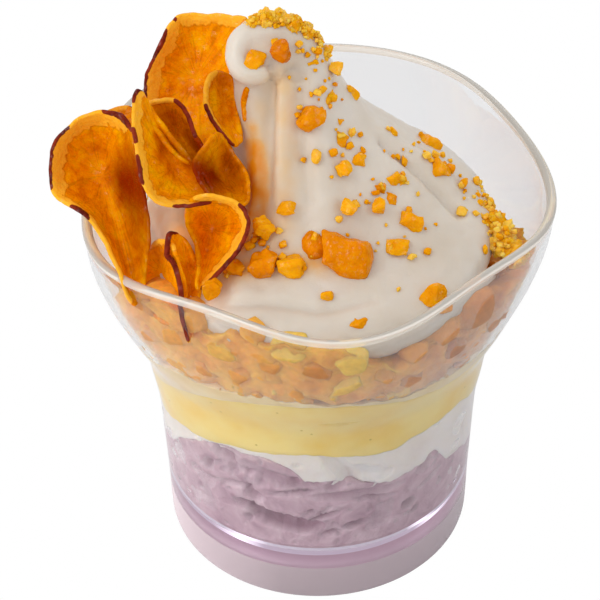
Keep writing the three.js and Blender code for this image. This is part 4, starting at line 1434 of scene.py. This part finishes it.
# The heaps of crumble, each as a row of rough lumps: centre x, y, z and radius.
TIP_CRUMBLE = [
    (-12.4, 2.6, 119.4, 1.3), (-10.6, 2.6, 120.6, 1.8), (-8.6, 3.2, 121.0, 2.2),
    (-6.2, 3.6, 120.4, 2.3), (-4, 3.8, 119.2, 2.3), (-1.8, 3.8, 117.6, 2.2),
    (0, 3.4, 115.4, 2.1), (1.6, 3.2, 112.8, 1.8),
]
SIDE_CRUMBLE = [
    (30.2, 0.4, 80.6, 2.8), (31.6, -3.8, 80.6, 3.2), (33.4, -8.4, 80.2, 3.4),
    (35.6, -12.4, 79.6, 3.4), (37.2, -15.4, 79, 2.8),
]
CRUMBLE_TONES = (0.0, 0.45)
CRUMBS_A_LUMP = 9  # on a lump whose radius is the crumb size, and more on a larger one


def build_crumble(name, lumps, crumb, seed):
    """A heap of crumbs: a core of rough lumps with loose crumbs half sunk in them."""
    rng = np.random.default_rng(seed)
    pile = Pile()
    for x, y, z, radius in lumps:
        tone = rng.uniform(*CRUMBLE_TONES)
        pile.add(rng, (x, y, z), [2 * radius] * 3, FINE, tone, round_share=0.8, cuts=4, rough=0.4)
        for _ in range(int(CRUMBS_A_LUMP * (radius / crumb) ** 1.3)):
            way = rng.normal(size=3)
            way[2] = abs(way[2])
            way /= np.linalg.norm(way)
            size = crumb * rng.uniform(0.5, 1.3)
            place = np.array([x, y, z]) + way * radius * rng.uniform(0.75, 0.98)
            sizes = size * rng.uniform(0.7, 1.2, 3)
            tone = rng.uniform(*CRUMBLE_TONES)
            pile.add(rng, place, sizes, COARSE, tone, round_share=0.4, cuts=4)
    heap = pile.build(name + "_crumbs", CANDIED)
    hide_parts(name)


# --------------------------------------------------- camera, light, floor
# The camera fitted to the photo: distance in metres, target in cup millimetres.
CAMERA_DISTANCE = 0.600
CAMERA_ELEVATION = math.radians(41.25)
CAMERA_ROLL = math.radians(-0.963)
CAMERA_LENS = 179.2
CAMERA_TARGET = Vector((-3.278, 0, 54.19))
LIT_PLACE = Vector((0, 0, 0.05))  # metres; all lamps point at it
FLOOR_HALF = 3.0  # metres


def make_camera():
    back = Vector((0, -math.cos(CAMERA_ELEVATION), math.sin(CAMERA_ELEVATION)))
    side = Vector((1, 0, 0))
    up = Vector((0, math.sin(CAMERA_ELEVATION), math.cos(CAMERA_ELEVATION)))
    right = side * math.cos(CAMERA_ROLL) + up * math.sin(CAMERA_ROLL)
    top = up * math.cos(CAMERA_ROLL) - side * math.sin(CAMERA_ROLL)
    data = bpy.data.cameras.new("camera")
    data.lens = CAMERA_LENS
    data.sensor_width = 36
    camera = add_object("camera", data)
    turn = Matrix((right, top, back)).transposed().to_4x4()
    place = CAMERA_TARGET * MM + Vector(AXIS) + back * CAMERA_DISTANCE
    camera.matrix_world = Matrix.Translation(place) @ turn
    bpy.context.scene.camera = camera


def soft_light(name, place, size, power, colour=(1, 1, 1)):
    data = bpy.data.lights.new(name, "AREA")
    data.shape = "DISK"
    data.size = size
    data.energy = power
    data.color = colour
    light = add_object(name, data)
    light.location = place
    aim = LIT_PLACE - Vector(place)
    light.rotation_euler = aim.to_track_quat("-Z", "Y").to_euler()


def make_lights():
    """Large soft lamps in a pale studio; the camera itself sees plain white behind it."""
    soft_light("key", (-0.42, -0.22, 0.70), 0.5, 1.5, (1.0, 0.985, 0.96))
    soft_light("left", (-0.62, -0.34, 0.10), 0.5, 1.4)
    soft_light("fill", (0.60, -0.35, 0.45), 0.6, 0.5, (0.96, 0.98, 1.0))
    soft_light("back", (0.15, 0.65, 0.50), 0.5, 0.6)
    world = bpy.data.worlds.new("studio")
    world.use_nodes = True
    nodes = world.node_tree.nodes
    backdrop = nodes["Background"]
    backdrop.inputs["Color"].default_value = (0.97, 0.98, 1.0, 1)
    backdrop.inputs["Strength"].default_value = 0.82
    white = nodes.new("ShaderNodeBackground")
    white.inputs["Color"].default_value = (1, 1, 1, 1)
    by_ray(world.node_tree, "Is Camera Ray", backdrop, white, "World Output")
    bpy.context.scene.world = world
    bpy.context.scene.view_settings.view_transform = "Standard"


def make_floor():
    """A pale floor that the camera itself sees as plain white."""
    half = FLOOR_HALF
    mesh = bpy.data.meshes.new("floor")
    corners = [(-half, -half, 0), (half, -half, 0), (half, half, 0), (-half, half, 0)]
    mesh.from_pydata(corners, [], [(0, 1, 2, 3)])
    floor = add_object("floor", mesh)
    shader = Shader("floor")
    shader.set(Base_Color=srgb(238, 238, 238), Roughness=0.9)
    by_ray(
        shader.tree, "Is Camera Ray", shader.surface, shader.add("Emission"), "Material Output"
    )
    mesh.materials.append(shader.material)


make_camera()
make_lights()
make_floor()
build_cup()
build_layers()
build_cake_pieces()
soft_serve = build_soft_serve()
build_chips()
build_candied()
build_loose_crumbs(soft_serve)
build_crumble("tip_crumble", TIP_CRUMBLE, 1.0, 21)
build_crumble("side_crumble", SIDE_CRUMBLE, 1.3, 22)
